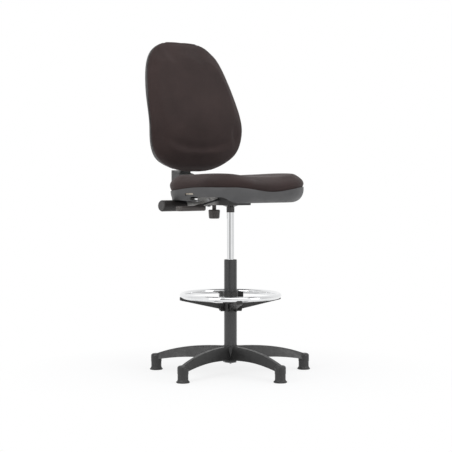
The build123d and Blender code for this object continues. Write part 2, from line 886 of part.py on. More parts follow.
boss_z = lever_pivot_z - (lever_bend_x - paddle_boss_start) * lever_slope
boss_plane = Plane(origin=(paddle_boss_start, 0, boss_z), z_dir=(-1, 0, -lever_slope))
with BuildPart() as lever_paddle:
    with BuildSketch(Plane.XY.offset(paddle_center_z - paddle_thickness / 2)):
        with Locations(((paddle_inner_x + paddle_outer_x) / 2, 0)):
            RectangleRounded(paddle_inner_x - paddle_outer_x, paddle_width, paddle_corner)
    extrude(amount=paddle_thickness)
    paddle_edges = lever_paddle.edges().group_by(Axis.Z)
    fillet(paddle_edges[0] + paddle_edges[-1], paddle_round)
    with BuildSketch(boss_plane):
        Circle(paddle_boss_radius)
    extrude(amount=paddle_boss_length)
    add(lever_wire(lever_wire_radius + press_gap).part, mode=Mode.SUBTRACT)
save(lever_paddle, "lever_paddle")

# Back lock grip: a shaft in a bearing tube on the right cheek, with a round grip and an end cap
handle_plane = Plane(origin=(-mech_half_width, handle_y, handle_z), x_dir=(0, 1, 0), z_dir=(-1, 0, 0))
grip_start = handle_tube_length + handle_gap
with BuildPart() as handle_tube:
    with BuildSketch(handle_plane):
        Circle(handle_tube_radius)
        Circle(handle_shaft_radius + running_gap, mode=Mode.SUBTRACT)
    extrude(amount=handle_tube_length)
    fillet(handle_tube.edges().sort_by(Axis.X)[:1], handle_tube_round)
save(handle_tube, "handle_tube")

with BuildPart() as handle_shaft:
    with BuildSketch(handle_plane.offset(-handle_shaft_inside)):
        Circle(handle_shaft_radius)
    extrude(amount=handle_shaft_inside + grip_start + grip_length - grip_floor)
save(handle_shaft, "handle_shaft")

with BuildPart() as handle_grip:
    with BuildSketch(handle_plane.offset(grip_start)):
        Circle(grip_collar_radius)
    extrude(amount=grip_collar_length)
    with BuildSketch(handle_plane.offset(grip_start + grip_collar_length)):
        Circle(grip_radius)
    extrude(amount=grip_length - grip_collar_length)
    fillet(rims(handle_grip, grip_radius), grip_round)
    with BuildSketch(handle_plane.offset(grip_start)):
        Circle(handle_shaft_radius + press_gap)
    extrude(amount=grip_length - grip_floor, mode=Mode.SUBTRACT)
save(handle_grip, "handle_grip")

with BuildPart() as handle_cap:
    with BuildSketch(handle_plane.offset(grip_start + grip_length)):
        Circle(handle_cap_radius)
    extrude(amount=handle_cap_thickness)
    fillet(handle_cap.edges().sort_by(Axis.X)[:1], handle_cap_thickness / 2)
save(handle_cap, "handle_cap")

# Tension hand wheel, its screw through the floor and the spring that it loads
with BuildPart() as tension_knob:
    with BuildSketch(Plane.XZ):
        with BuildLine():
            Polyline(
                (0, knob_bottom),
                (knob_bottom_radius - knob_round, knob_bottom),
                (knob_bottom_radius, knob_bottom + knob_round),
                (knob_top_radius, knob_bottom + knob_height - knob_round),
                (knob_top_radius - knob_round, knob_bottom + knob_height),
                (knob_stem_radius, knob_bottom + knob_height),
                (knob_stem_radius, mech_floor - knob_stem_gap),
                (0, mech_floor - knob_stem_gap),
                close=True,
            )
        make_face()
    revolve(axis=Axis.Z)
    with BuildSketch(Plane.XY.offset(knob_bottom)):
        with PolarLocations(knob_top_radius + knob_flute_radius / 2, knob_flute_count):
            Circle(knob_flute_radius)
    extrude(amount=knob_height, mode=Mode.SUBTRACT)
    with BuildSketch(Plane.XY.offset(mech_floor)):
        Circle(tension_screw_radius + press_gap)
    extrude(amount=-(mech_floor - knob_bottom - knob_height + tension_screw_in_knob), mode=Mode.SUBTRACT)
tension_knob.part = tension_knob.part.moved(Location((0, knob_y, 0)))
save(tension_knob, "tension_knob")

screw_bottom = knob_bottom + knob_height - tension_screw_in_knob
with BuildPart() as tension_screw:
    with BuildSketch(Plane.XY.offset(screw_bottom)):
        with Locations((0, knob_y)):
            Circle(tension_screw_radius)
    extrude(amount=tension_screw_tip - screw_bottom)
save(tension_screw, "tension_screw")

with BuildPart() as spring_seat:
    with BuildSketch(Plane.XY.offset(mech_floor + mech_wall)):
        with Locations((0, knob_y)):
            Circle(spring_seat_radius)
            Circle(tension_screw_radius + running_gap, mode=Mode.SUBTRACT)
    extrude(amount=spring_seat_thickness)
save(spring_seat, "spring_seat")

spring_rise = bracket_front_bottom - spring_bottom - 2 * spring_wire_radius - 2 * face_gap
with BuildPart() as tension_spring:
    with BuildLine() as coil:
        Helix(
            spring_rise / spring_turns,
            spring_rise,
            spring_mean_radius,
            center=(0, knob_y, spring_bottom + face_gap + spring_wire_radius),
        )
    with BuildSketch(Plane(origin=coil.line @ 0, z_dir=coil.line % 0)):
        Circle(spring_wire_radius)
    sweep()
save(tension_spring, "tension_spring")

# Tilt bracket on the pivot, stepped down at the rear to carry the back bar
bolt_center_y = (bracket_step_y + bracket_plate + bracket_end_y) / 2
with BuildPart() as tilt_bracket:
    with BuildSketch(Plane.YZ):
        with BuildLine():
            Polyline(
                (tilt_pivot_y + bracket_plate_front, bracket_front_bottom),
                (bracket_step_y, bracket_front_bottom),
                (bracket_step_y, bracket_rear_bottom),
                (bracket_end_y, bracket_rear_bottom),
                (bracket_end_y, bracket_rear_bottom + bracket_plate),
                (bracket_step_y + bracket_plate, bracket_rear_bottom + bracket_plate),
                (bracket_step_y + bracket_plate, bracket_front_bottom + bracket_plate),
                (tilt_pivot_y + bracket_plate_front, bracket_front_bottom + bracket_plate),
                close=True,
            )
        make_face()
    extrude(amount=bracket_half_width, both=True)
    for ear_start in (bracket_half_width - bracket_ear, -bracket_half_width):
        with BuildSketch(Plane.YZ.offset(ear_start)):
            with Locations((tilt_pivot_y, tilt_pivot_z)):
                Circle(bracket_eye_radius)
        extrude(amount=bracket_ear)
    with BuildSketch(Plane.YZ):
        with Locations((tilt_pivot_y, tilt_pivot_z)):
            Circle(tilt_pin_radius + running_gap)
    extrude(amount=bracket_half_width, both=True, mode=Mode.SUBTRACT)
    with BuildSketch(Plane.XY.offset(bracket_rear_bottom)):
        with Locations((0, bolt_center_y)):
            with GridLocations(bar_bolt_spacing_x, bar_bolt_spacing_y, 2, 2):
                Circle(bar_bolt_radius + press_gap)
    extrude(amount=bracket_plate, mode=Mode.SUBTRACT)
save(tilt_bracket, "tilt_bracket")


# Back bar: a flat steel bar bent up behind the seat
def bar_blank(grow):
    """The bent bar, grown by a clearance all round."""
    with BuildPart() as blank:
        with BuildSketch(Plane.YZ):
            with BuildLine():
                outer = FilletPolyline(
                    (bar_start_y, bar_bottom - grow),
                    (bar_rear_y + grow, bar_bottom - grow),
                    (bar_rear_y + grow, bar_top),
                    radius=bar_bend + bar_thickness,
                )
                inner = FilletPolyline(
                    (bar_front_y - grow, bar_top),
                    (bar_front_y - grow, bar_bottom + bar_thickness + grow),
                    (bar_start_y, bar_bottom + bar_thickness + grow),
                    radius=bar_bend,
                )
                Line(outer @ 1, inner @ 0)
                Line(inner @ 1, outer @ 0)
            make_face()
        extrude(amount=bar_half_width + grow, both=True)
    return blank


with BuildPart() as back_bar:
    add(bar_blank(0).part)
    with BuildSketch(Plane.XY.offset(bar_bottom)):
        with Locations((0, bolt_center_y)):
            with GridLocations(bar_bolt_spacing_x, bar_bolt_spacing_y, 2, 2):
                Circle(bar_bolt_radius + press_gap)
    extrude(amount=bar_thickness, mode=Mode.SUBTRACT)
save(back_bar, "back_bar")

with BuildPart() as bar_bolts:
    with BuildSketch(Plane.XY.offset(bar_bottom - bar_bolt_head)):
        with Locations((0, bolt_center_y)):
            with GridLocations(bar_bolt_spacing_x, bar_bolt_spacing_y, 2, 2):
                Circle(bar_bolt_head_radius)
    extrude(amount=bar_bolt_head)
    with BuildSketch(Plane.XY.offset(bar_bottom)):
        with Locations((0, bolt_center_y)):
            with GridLocations(bar_bolt_spacing_x, bar_bolt_spacing_y, 2, 2):
                Circle(bar_bolt_radius)
    extrude(amount=bar_thickness + bracket_plate)
save(bar_bolts, "bar_bolts")

cover_front_y = bar_front_y - cover_front
cover_rear_y = bar_rear_y + cover_rear
cover_low = bar_bottom - cover_under
cover_high = bar_bottom + bar_thickness + cover_over
with BuildPart() as upright_cover:
    with BuildSketch(Plane.YZ):
        with BuildLine():
            cover_outer = FilletPolyline(
                (cover_start_y, cover_low),
                (cover_rear_y, cover_low),
                (cover_rear_y, cover_rear_top),
                radius=2 * bar_bend,
            )
            cover_inner = FilletPolyline(
                (cover_front_y, cover_front_top),
                (cover_front_y, cover_high),
                (cover_start_y, cover_high),
                radius=bar_bend,
            )
            Line(cover_outer @ 1, cover_inner @ 0)
            Line(cover_inner @ 1, cover_outer @ 0)
        make_face()
    extrude(amount=cover_half_width, both=True)
    cover_sides = upright_cover.faces().sort_by(Axis.X)
    fillet(cover_sides[0].edges() + cover_sides[-1].edges(), cover_round)
    add(bar_blank(face_gap).part, mode=Mode.SUBTRACT)
save(upright_cover, "upright_cover")


# Seat pan: a moulded tub with an in-turned lip, a web under the board and a waved rim
def seat_outline(side, front, rear, height):
    """Rounded seat outline at a height, drawn in at the sides, front and rear."""
    depth = seat_depth - front - rear
    width = seat_width - 2 * side
    corner = min(seat_corner - side, seat_corner_share * depth, seat_corner_share * width)
    with BuildSketch(Plane.XY.offset(height)) as outline_sketch:
        with Locations((0, seat_center_y + (front - rear) / 2)):
            RectangleRounded(width, depth, corner)
    return outline_sketch.sketch


pan_pitch = (pan_rear_bottom - pan_front_bottom) / seat_depth
pan_floor = Plane(origin=(0, seat_front, pan_front_bottom), x_dir=(1, 0, 0), z_dir=(0, -pan_pitch, 1))


def pan_draw(height):
    """Share of the full draw at a height: a quarter ellipse that turns the wall in to the floor."""
    drop = min(max(pan_curve_top - height, 0.0) / pan_curve_height, 1.0)
    return 1 - (1 - drop**2) ** 0.5


def pan_section(inset, height):
    """Pan outline at a height, drawn in by the curve of its wall and by an inset."""
    draw = pan_draw(height)
    return seat_outline(
        inset + draw * pan_draw_side, inset + draw * pan_draw_front, inset + draw * pan_draw_rear, height
    )


def tub(inset, lift, heights):
    """Solid tub through pan outlines at the given heights, standing on the sloping pan floor."""
    with BuildPart() as block:
        loft([pan_section(inset, height) for height in heights])
        split(bisect_by=pan_floor.offset(lift), keep=Keep.TOP)
    return block.part


rim_clear = rim_corner + seat_cushion_height
rear_end = seat_rear + overcut
front_end = seat_front - overcut
side_end = seat_width / 2 + overcut
wave_shoulder = seat_width / 2 - 2 * seat_corner / 3
pan_base = pan_front_bottom - overcut
wall_heights = [pan_base + share * (rim_corner - pan_base) for share in pan_wall_shares]
cavity_heights = [pan_base + share * (web_bottom - pan_base) for share in pan_wall_shares]
well_heights = [web_top + share * (rim_corner - web_top) for share in pan_wall_shares]
with BuildPart() as seat_pan:
    add(tub(0, 0, wall_heights))
    add(tub(pan_wall, pan_wall, cavity_heights), mode=Mode.SUBTRACT)
    mouth_outline = seat_outline(pan_mouth_side, pan_mouth_front, pan_mouth_rear, web_bottom)
    extrude(mouth_outline, amount=pan_front_bottom - web_bottom - pan_wall, mode=Mode.SUBTRACT)
    loft([pan_section(pan_wall, height) for height in well_heights], mode=Mode.SUBTRACT)
    with BuildSketch(Plane.YZ):
        with BuildLine():
            side_wave = Spline(
                (rear_end, rim_rear),
                (seat_rear - seat_corner / 2, rim_rear + rim_rear_lift),
                (seat_center_y, rim_side),
                (seat_front + seat_corner / 2, rim_corner - rim_corner_drop),
                (front_end, rim_corner),
            )
            Polyline(side_wave @ 1, (front_end, rim_clear), (rear_end, rim_clear), side_wave @ 0)
        make_face()
    extrude(amount=seat_width, both=True, mode=Mode.SUBTRACT)
    with BuildSketch(Plane.XZ):
        with BuildLine():
            front_wave = Spline(
                (-side_end, rim_corner),
                (-wave_shoulder, rim_side),
                (0, rim_front),
                (wave_shoulder, rim_side),
                (side_end, rim_corner),
            )
            Polyline(front_wave @ 1, (side_end, rim_clear), (-side_end, rim_clear), front_wave @ 0)
        make_face()
    extrude(amount=seat_depth, both=True, mode=Mode.SUBTRACT)
    with BuildSketch(Plane.YZ) as arch:
        with BuildLine():
            Polyline(
                (arch_front_y, arch_top),
                (arch_rear_y, arch_top),
                (arch_rear_y + arch_round, pan_front_bottom - pan_floor_margin),
                (arch_front_y - arch_round, pan_front_bottom - pan_floor_margin),
                close=True,
            )
        make_face()
        fillet(arch.vertices().group_by(Axis.Y)[-1], arch_round)
    extrude(amount=seat_width, both=True, mode=Mode.SUBTRACT)
    with BuildSketch(Plane.YZ.offset(-seat_width / 2)):
        with Locations(((recess_front_y + recess_rear_y) / 2, recess_bottom + recess_height / 2)):
            RectangleRounded(recess_rear_y - recess_front_y, recess_height, recess_height / 3)
    extrude(amount=recess_depth, mode=Mode.SUBTRACT)
    with BuildSketch(Plane.XY.offset(web_bottom)):
        with Locations((0, plate_center)):
            with GridLocations(seat_bolt_spacing_x, seat_bolt_spacing_y, 2, 2):
                Circle(seat_bolt_radius + press_gap)
    extrude(amount=pan_web, mode=Mode.SUBTRACT)
save(seat_pan, "seat_pan")

with BuildPart() as seat_board:
    extrude(pan_section(pan_wall + board_margin, web_top), amount=board_thickness)
    with BuildSketch(Plane.XY.offset(web_top)):
        with Locations((0, plate_center)):
            with GridLocations(seat_bolt_spacing_x, seat_bolt_spacing_y, 2, 2):
                Circle(seat_bolt_radius + press_gap)
    extrude(amount=seat_bolt_bite, mode=Mode.SUBTRACT)
save(seat_board, "seat_board")

with BuildPart() as seat_bolts:
    with BuildSketch(Plane.XY.offset(mech_top - seat_bolt_head)):
        with Locations((0, plate_center)):
            with GridLocations(seat_bolt_spacing_x, seat_bolt_spacing_y, 2, 2):
                Circle(seat_bolt_head_radius)
    extrude(amount=seat_bolt_head)
    with BuildSketch(Plane.XY.offset(mech_top)):
        with Locations((0, plate_center)):
            with GridLocations(seat_bolt_spacing_x, seat_bolt_spacing_y, 2, 2):
                Circle(seat_bolt_radius)
    extrude(amount=plate_thickness + pan_web + seat_bolt_bite)
save(seat_bolts, "seat_bolts")

# Seat cushion: drawn in at the rim, fullest above it, crowned on top with a long front roll
cushion_levels = (
    (0.0, seat_draw_in, seat_draw_in, seat_draw_in),
    (0.29, seat_waist, seat_waist, seat_waist),
    (0.53, -seat_bulge, -seat_bulge, -seat_bulge),
    (0.79, 0.12 * seat_crown_side, 0.11 * seat_crown_front, 0.12 * seat_crown_side),
    (0.93, 0.43 * seat_crown_side, 0.46 * seat_crown_front, 0.43 * seat_crown_side),
    (1.0, seat_crown_side, seat_crown_front, seat_crown_side),
)
with BuildPart() as seat_cushion:
    cushion_sections = [
        seat_outline(*insets, board_top + share * seat_cushion_height)
        for share, *insets in cushion_levels
    ]
    loft(cushion_sections)
save(seat_cushion, "seat_cushion")

# Backrest levels: share of its height, half width, front face and rear face at the centre
back_levels = (
    (0.0, 34.0, 208.0, 248.0),
    (0.02, 90.0, 197.0, 262.0),
    (0.07, 152.0, 187.0, 263.0),
    (0.117, 188.0, 183.0, 250.0),
    (0.165, 208.0, 181.0, 239.0),
    (0.21, 218.0, 180.0, 233.0),
    (0.31, 225.0, 178.0, 228.0),
    (0.55, 214.0, 208.0, 262.0),
    (0.79, 185.0, 254.0, 306.0),
    (0.89, 161.0, 275.0, 320.0),
    (0.94, 137.0, 287.0, 327.0),
    (0.98, 103.0, 298.0, 330.0),
    (1.0, 72.0, 308.0, 327.0),
)
back_widest = max(level[1] for level in back_levels)


def back_blank(inset):
    """Whole padded form of the backrest, drawn in all round by an inset."""
    with BuildPart() as form:
        for share, half, front, rear in back_levels:
            height = back_bottom + inset + share * (back_height - 2 * inset)
            half_in = half - inset
            low = front + inset
            high = rear - inset
            bend = (half_in / back_widest) ** 2
            low_edge = low + back_crown * bend
            high_edge = high - back_rear_crown * bend
            middle = (low_edge + high_edge) / 2
            side = half_in + back_side_bulge
            with BuildSketch(Plane.XY.offset(height)):
                with BuildLine():
                    ThreePointArc((-half_in, low_edge), (0, low), (half_in, low_edge))
                    ThreePointArc((half_in, low_edge), (side, middle), (half_in, high_edge))
                    ThreePointArc((half_in, high_edge), (0, high), (-half_in, high_edge))
                    ThreePointArc((-half_in, high_edge), (-side, middle), (-half_in, low_edge))
                make_face()
        loft()
    return form.part


def behind_parting(shift):
    """Everything behind the parting between cushion and board, moved back by a shift."""
    with BuildPart() as block:
        with BuildSketch(Plane.YZ):
            with BuildLine():
                parting = Spline(
                    *[
                        (front + back_parting * (rear - front) + shift, back_bottom + share * back_height)
                        for share, half, front, rear in back_levels[1:-1]
                    ]
                )
                low_end = (parting @ 0).Y
                high_end = (parting @ 1).Y
                Polyline(
                    parting @ 1,
                    (high_end + parting_lean, back_bottom + back_height + parting_overrun),
                    (high_end + back_height, back_bottom + back_height + parting_overrun),
                    (high_end + back_height, back_bottom - parting_overrun),
                    (low_end, back_bottom - parting_overrun),
                    parting @ 0,
                )
            make_face()
        extrude(amount=2 * back_widest, both=True)
    return block.part


with BuildPart() as back_cushion:
    add(back_blank(0))
    add(behind_parting(0), mode=Mode.SUBTRACT)
save(back_cushion, "back_cushion")

# Board behind the cushion and the moulded shell around it, both drilled for the carriage bolts
def back_depth(height, share):
    """Depth of a face at a height: 0 is the front face, 1 the rear face, read between levels."""
    at = (height - back_bottom) / back_height
    for low, high in zip(back_levels, back_levels[1:]):
        if low[0] <= at <= high[0]:
            part = (at - low[0]) / (high[0] - low[0])
            front = low[2] + part * (high[2] - low[2])
            rear = low[3] + part * (high[3] - low[3])
            return front + share * (rear - front)


carriage_rear_y = bar_rear_y + carriage_rear_wall
board_inset_back = back_shell_wall + board_margin
bolt_heights = (carriage_bottom + carriage_bolt_inset, carriage_top - carriage_bolt_inset)


def bolt_seat(height):
    """Depth of the plane the bolt heads sit on, sunk into the carriage flange."""
    return back_depth(height, 1.0) + carriage_flange - carriage_bolt_sink


def bolt_tip(height):
    """Depth at which the bolt holes end, just behind the parting."""
    return back_depth(height, back_parting) + carriage_bolt_stop


def bolt_row(height, radius, start_y, end_y):
    """Two round runs at a height, between two depths."""
    with BuildPart() as runs:
        with BuildSketch(Plane(origin=(0, start_y, 0), x_dir=(1, 0, 0), z_dir=(0, -1, 0))):
            with Locations((-carriage_bolt_x, height), (carriage_bolt_x, height)):
                Circle(radius)
        extrude(amount=start_y - end_y)
    return runs.part


def bolt_holes(height):
    """The drilled holes for one row of carriage bolts."""
    return bolt_row(height, carriage_bolt_radius + press_gap, bolt_seat(height), bolt_tip(height))


with BuildPart() as back_board:
    add(back_blank(board_inset_back))
    add(behind_parting(seam_gap), mode=Mode.INTERSECT)
    add(behind_parting(back_board_thickness), mode=Mode.SUBTRACT)
    for row_height in bolt_heights:
        add(bolt_holes(row_height), mode=Mode.SUBTRACT)
save(back_board, "back_board")

with BuildPart() as back_shell:
    add(back_blank(0))
    add(behind_parting(seam_gap), mode=Mode.INTERSECT)
    add(back_blank(back_shell_wall), mode=Mode.SUBTRACT)
    for row_height in bolt_heights:
        add(bolt_holes(row_height), mode=Mode.SUBTRACT)
save(back_shell, "back_shell")

# Carriage: a moulding that slides on the bar, with a flange that follows the shell
carriage_height = carriage_top - carriage_bottom
with BuildPart() as back_carriage:
    with BuildSketch(Plane.XY.offset(carriage_bottom)):
        with Locations((0, carriage_rear_y - carriage_front_reach / 2)):
            Rectangle(2 * carriage_flange_half, carriage_front_reach)
    extrude(amount=carriage_height)
    add(back_blank(-carriage_flange), mode=Mode.INTERSECT)
    with BuildSketch(Plane.XY.offset(carriage_bottom)) as column_outline:
        with Locations((0, carriage_rear_y - carriage_front_reach / 2)):
            Rectangle(2 * carriage_half_width, carriage_front_reach)
        fillet(column_outline.vertices().group_by(Axis.Y)[-1], carriage_round)
    extrude(amount=carriage_height)
    add(back_blank(-seam_gap), mode=Mode.SUBTRACT)
    with BuildSketch(Plane.XY.offset(carriage_bottom)):
        with Locations((0, (bar_front_y + bar_rear_y) / 2)):
            Rectangle(2 * bar_half_width + 2 * slide_gap, bar_thickness + 2 * slide_gap)
    extrude(amount=carriage_height - carriage_cap, mode=Mode.SUBTRACT)
    for row_height in bolt_heights:
        add(bolt_holes(row_height), mode=Mode.SUBTRACT)
        seat_y = bolt_seat(row_height)
        pocket_radius = carriage_bolt_head_radius + press_gap
        add(bolt_row(row_height, pocket_radius, seat_y + carriage_bolt_access, seat_y), mode=Mode.SUBTRACT)
save(back_carriage, "back_carriage")

with BuildPart() as carriage_bolts:
    for row_height in bolt_heights:
        seat_y = bolt_seat(row_height)
        add(bolt_row(row_height, carriage_bolt_radius, seat_y, bolt_tip(row_height) + face_gap))
        add(bolt_row(row_height, carriage_bolt_head_radius, seat_y + carriage_bolt_head, seat_y))
save(carriage_bolts, "carriage_bolts")
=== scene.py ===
# %% [markdown]
# # A drafting chair, dressed for the camera
# The engineering model already holds every rigid piece at its real size and place. This lesson
# loads it, gives each piece the finish of the real one, and makes the soft pieces, whose look comes
# from cloth and foam, as new surfaces. Lengths in the code are metres, with +Z up, the origin on the
# floor under the column, and the sitter facing -Y.

# %% Load the model
import bmesh
import bpy
import json
import math
import numpy as np
from mathutils import Matrix, Vector


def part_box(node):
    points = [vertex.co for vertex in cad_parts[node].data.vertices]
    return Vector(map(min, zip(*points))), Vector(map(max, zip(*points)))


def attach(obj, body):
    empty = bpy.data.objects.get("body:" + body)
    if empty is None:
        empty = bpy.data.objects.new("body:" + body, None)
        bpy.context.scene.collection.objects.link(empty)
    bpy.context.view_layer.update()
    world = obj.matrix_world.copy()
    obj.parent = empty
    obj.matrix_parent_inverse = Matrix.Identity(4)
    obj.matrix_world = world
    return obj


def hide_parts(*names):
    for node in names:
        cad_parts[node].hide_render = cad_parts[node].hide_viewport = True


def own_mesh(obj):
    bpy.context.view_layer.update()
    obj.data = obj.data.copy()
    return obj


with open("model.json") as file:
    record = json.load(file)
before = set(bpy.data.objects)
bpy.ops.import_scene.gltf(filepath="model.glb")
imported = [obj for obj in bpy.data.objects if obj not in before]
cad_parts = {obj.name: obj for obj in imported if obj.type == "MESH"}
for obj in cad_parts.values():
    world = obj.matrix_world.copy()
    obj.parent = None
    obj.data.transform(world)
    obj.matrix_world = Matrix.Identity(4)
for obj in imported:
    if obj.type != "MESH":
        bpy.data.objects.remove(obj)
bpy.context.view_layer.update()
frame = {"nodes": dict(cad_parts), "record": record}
nodes = frame["nodes"]
scene = bpy.context.scene
mm = 0.001
print("pieces in the model:", len(nodes))

# %% [markdown]
# ## Small tools for surfaces
# A soft piece here is a grid of points: one direction runs round the piece, the other runs from its
# underside over the edge to its top. Working the grid out as whole arrays is quick, and the same
# function can then close the two ends with a fan of triangles. Smooth outlines come from a spline
# through a few measured points, which is how a pattern maker would draw them.


# %% Surface tools
def spline_through(knots, values, at):
    """Natural cubic spline. Between two knots the value is a cubic whose second derivatives at
    the knots, m, solve the usual three-term equations, with m zero at both ends."""
    knots, values = np.asarray(knots, float), np.asarray(values, float)
    step, rise = np.diff(knots), np.diff(values) / np.diff(knots)
    size = len(knots)
    matrix = np.eye(size)
    inner = np.arange(1, size - 1)
    matrix[inner, inner] = 2 * (step[:-1] + step[1:])
    matrix[inner, inner - 1] = step[:-1]
    matrix[inner, inner + 1] = step[1:]
    m = np.linalg.solve(matrix, np.concatenate([[0], 6 * np.diff(rise), [0]]))
    at = np.clip(at, knots[0], knots[-1])
    k = np.clip(np.searchsorted(knots, at) - 1, 0, size - 2)
    left, right = at - knots[k], knots[k + 1] - at
    cubic = (m[k] * right**3 + m[k + 1] * left**3) / (6 * step[k])
    slope = (values[k] / step[k] - m[k] * step[k] / 6) * right
    return cubic + slope + (values[k + 1] / step[k] - m[k + 1] * step[k] / 6) * left


def outward(name, mesh):
    """Put a mesh in the scene as a smooth object with its faces pointing outwards."""
    shell = bmesh.new()
    shell.from_mesh(mesh)
    bmesh.ops.recalc_face_normals(shell, faces=shell.faces)
    shell.to_mesh(mesh)
    shell.free()
    mesh.polygons.foreach_set("use_smooth", np.ones(len(mesh.polygons), bool))
    piece = bpy.data.objects.new(name, mesh)
    scene.collection.objects.link(piece)
    return piece


def skin(name, grid):
    """Closed mesh over a grid of shape (rows, columns, 3). Every row is a loop, neighbouring rows
    are joined by quads, and the first and last rows are closed by fans round their mean point."""
    rows, columns = grid.shape[:2]
    index = np.arange(rows * columns).reshape(rows, columns)
    after = np.roll(index, -1, axis=1)
    quads = np.stack([index[:-1], after[:-1], after[1:], index[1:]], axis=-1).reshape(-1, 4)
    start = np.full(columns, rows * columns)
    first_fan = np.stack([after[0], index[0], start], -1)
    last_fan = np.stack([index[-1], after[-1], start + 1], -1)
    points = np.concatenate([grid.reshape(-1, 3), [grid[0].mean(0), grid[-1].mean(0)]])
    mesh = bpy.data.meshes.new(name)
    mesh.from_pydata(points.tolist(), [], quads.tolist() + first_fan.tolist() + last_fan.tolist())
    return outward(name, mesh)


print("surface tools ready")

# %% [markdown]
# ## The camera
# The photograph was taken from the sitter's front right, at about the height of the seat's top, from
# five metres away. The camera is set from three measurements: the angle round the column, the height
# of the horizon in the picture and the size of the column tube. A long lens keeps the perspective as
# gentle as it is there.

# %% Camera
camera_distance = 5.2
camera_height = 0.78
camera_angle = math.radians(-40.0)
focal_pixels = 1338.0
frame_pixels = 452
axis_pixel = 230.5
horizon_pixel = 172.9
sensor_width_mm = 36.0

camera_data = bpy.data.cameras.new("studio_camera")
camera = bpy.data.objects.new("studio_camera", camera_data)
scene.collection.objects.link(camera)
camera_data.sensor_width = sensor_width_mm
camera_data.lens = focal_pixels / frame_pixels * sensor_width_mm
to_camera = Vector((math.sin(camera_angle), -math.cos(camera_angle), 0))
camera.location = to_camera * camera_distance + Vector((0, 0, camera_height))
side_turn = math.atan((axis_pixel - frame_pixels / 2) / focal_pixels)
heading = Matrix.Rotation(side_turn, 3, "Z") @ -to_camera
pitch = math.atan((frame_pixels / 2 - horizon_pixel) / focal_pixels)
aim = heading * math.cos(pitch) - Vector((0, 0, math.sin(pitch)))
camera.rotation_euler = aim.to_track_quat("-Z", "Y").to_euler()
scene.camera = camera
print("lens", round(camera_data.lens, 1), "mm")

# %% [markdown]
# ## Small tools for shader nodes
# Materials, walls and floor are all built from the same few steps: noise, a change of range, a blend
# of two colours and plain arithmetic. Each step is a function that takes sockets and gives one back,
# so that a material later reads like a recipe.


# %% Node tools
def combine(tree, operation, first, second):
    """One arithmetic step between two values."""
    node = tree.nodes.new("ShaderNodeMath")
    node.operation = operation
    tree.links.new(first, node.inputs[0])
    tree.links.new(second, node.inputs[1])
    return node.outputs[0]


def spread(tree, value, low, high, start=0.3, end=0.7):
    """Carry a value from the range start to end over to low to high. The defaults of the first
    range are where most of a noise's values lie."""
    node = tree.nodes.new("ShaderNodeMapRange")
    limits = {"From Min": start, "From Max": end, "To Min": low, "To Max": high}
    for socket, number in limits.items():
        node.inputs[socket].default_value = number
    tree.links.new(value, node.inputs["Value"])
    return node.outputs["Result"]


def two_tone(tree, value, first, second, start=0.3, end=0.7):
    """Colour that runs from the first to the second as the value rises."""
    node = tree.nodes.new("ShaderNodeMix")
    node.data_type = "RGBA"
    node.inputs["A"].default_value = (*first, 1)
    node.inputs["B"].default_value = (*second, 1)
    tree.links.new(spread(tree, value, 0, 1, start, end), node.inputs["Factor"])
    return node.outputs["Result"]


def noise(tree, where, scale, detail=3.0, stretch=None):
    """Noise in the piece's coordinates, optionally stretched along its axes."""
    if stretch:
        mapping = tree.nodes.new("ShaderNodeMapping")
        mapping.inputs["Scale"].default_value = stretch
        tree.links.new(where, mapping.inputs["Vector"])
        where = mapping.outputs["Vector"]
    texture = tree.nodes.new("ShaderNodeTexNoise")
    texture.inputs["Scale"].default_value = scale
    texture.inputs["Detail"].default_value = detail
    tree.links.new(where, texture.inputs["Vector"])
    return texture.outputs["Fac"]


def emboss(tree, shader, height, depth, strength):
    """Bump of a real depth in metres on a shader."""
    node = tree.nodes.new("ShaderNodeBump")
    node.inputs["Strength"].default_value = strength
    node.inputs["Distance"].default_value = depth
    tree.links.new(height, node.inputs["Height"])
    tree.links.new(node.outputs["Normal"], shader.inputs["Normal"])


def shown_rays(tree):
    """One for rays that show the background: camera, glossy and transmission rays."""
    path = tree.nodes.new("ShaderNodeLightPath").outputs
    seen = combine(tree, "MAXIMUM", path["Is Camera Ray"], path["Is Glossy Ray"])
    return combine(tree, "MAXIMUM", seen, path["Is Transmission Ray"])


print("node tools ready")

# %% [markdown]
# ## Studio walls
# A white studio is mostly floor and walls. The world is white to the camera, but gives only a
# moderate fill to matt surfaces, so that dark fabric keeps its shape. Chrome shows whatever stands
# round it, so for reflections the walls carry a few upright grey strips, as the gaps between studio
# screens would. Each strip is an angle round the column, in degrees from straight ahead of the
# sitter, and a grey.

# %% Studio walls
wall_strips = [
    (-137, 0.82), (-98, 0.98), (-80, 0.85), (-64, 0.1), (-50, 0.5),
    (-30, 0.8), (2, 1.0), (40, 0.7), (92, 0.92),
]
fill_colour, fill_strength = (0.95, 0.97, 1.0, 1), 0.60
white = (1, 1, 1, 1)


def mirror_wall(tree):
    """Brightness of the wall that a reflection meets, by the angle round the column."""
    split = tree.nodes.new("ShaderNodeSeparateXYZ")
    tree.links.new(tree.nodes.new("ShaderNodeTexCoord").outputs["Generated"], split.inputs[0])
    flip = tree.nodes.new("ShaderNodeMath")
    flip.operation = "MULTIPLY"
    flip.inputs[1].default_value = -1.0
    tree.links.new(split.outputs["Y"], flip.inputs[0])
    angle = combine(tree, "ARCTAN2", split.outputs["X"], flip.outputs[0])
    strips = tree.nodes.new("ShaderNodeValToRGB")
    strips.color_ramp.interpolation = "EASE"
    stops = strips.color_ramp.elements
    for degrees, grey in wall_strips:
        stops.new(degrees / 360 + 0.5).color = (grey, grey, grey, 1)
    stops[0].color = stops[-1].color = white
    tree.links.new(spread(tree, angle, 0, 1, -math.pi, math.pi), strips.inputs["Fac"])
    return strips.outputs["Color"]


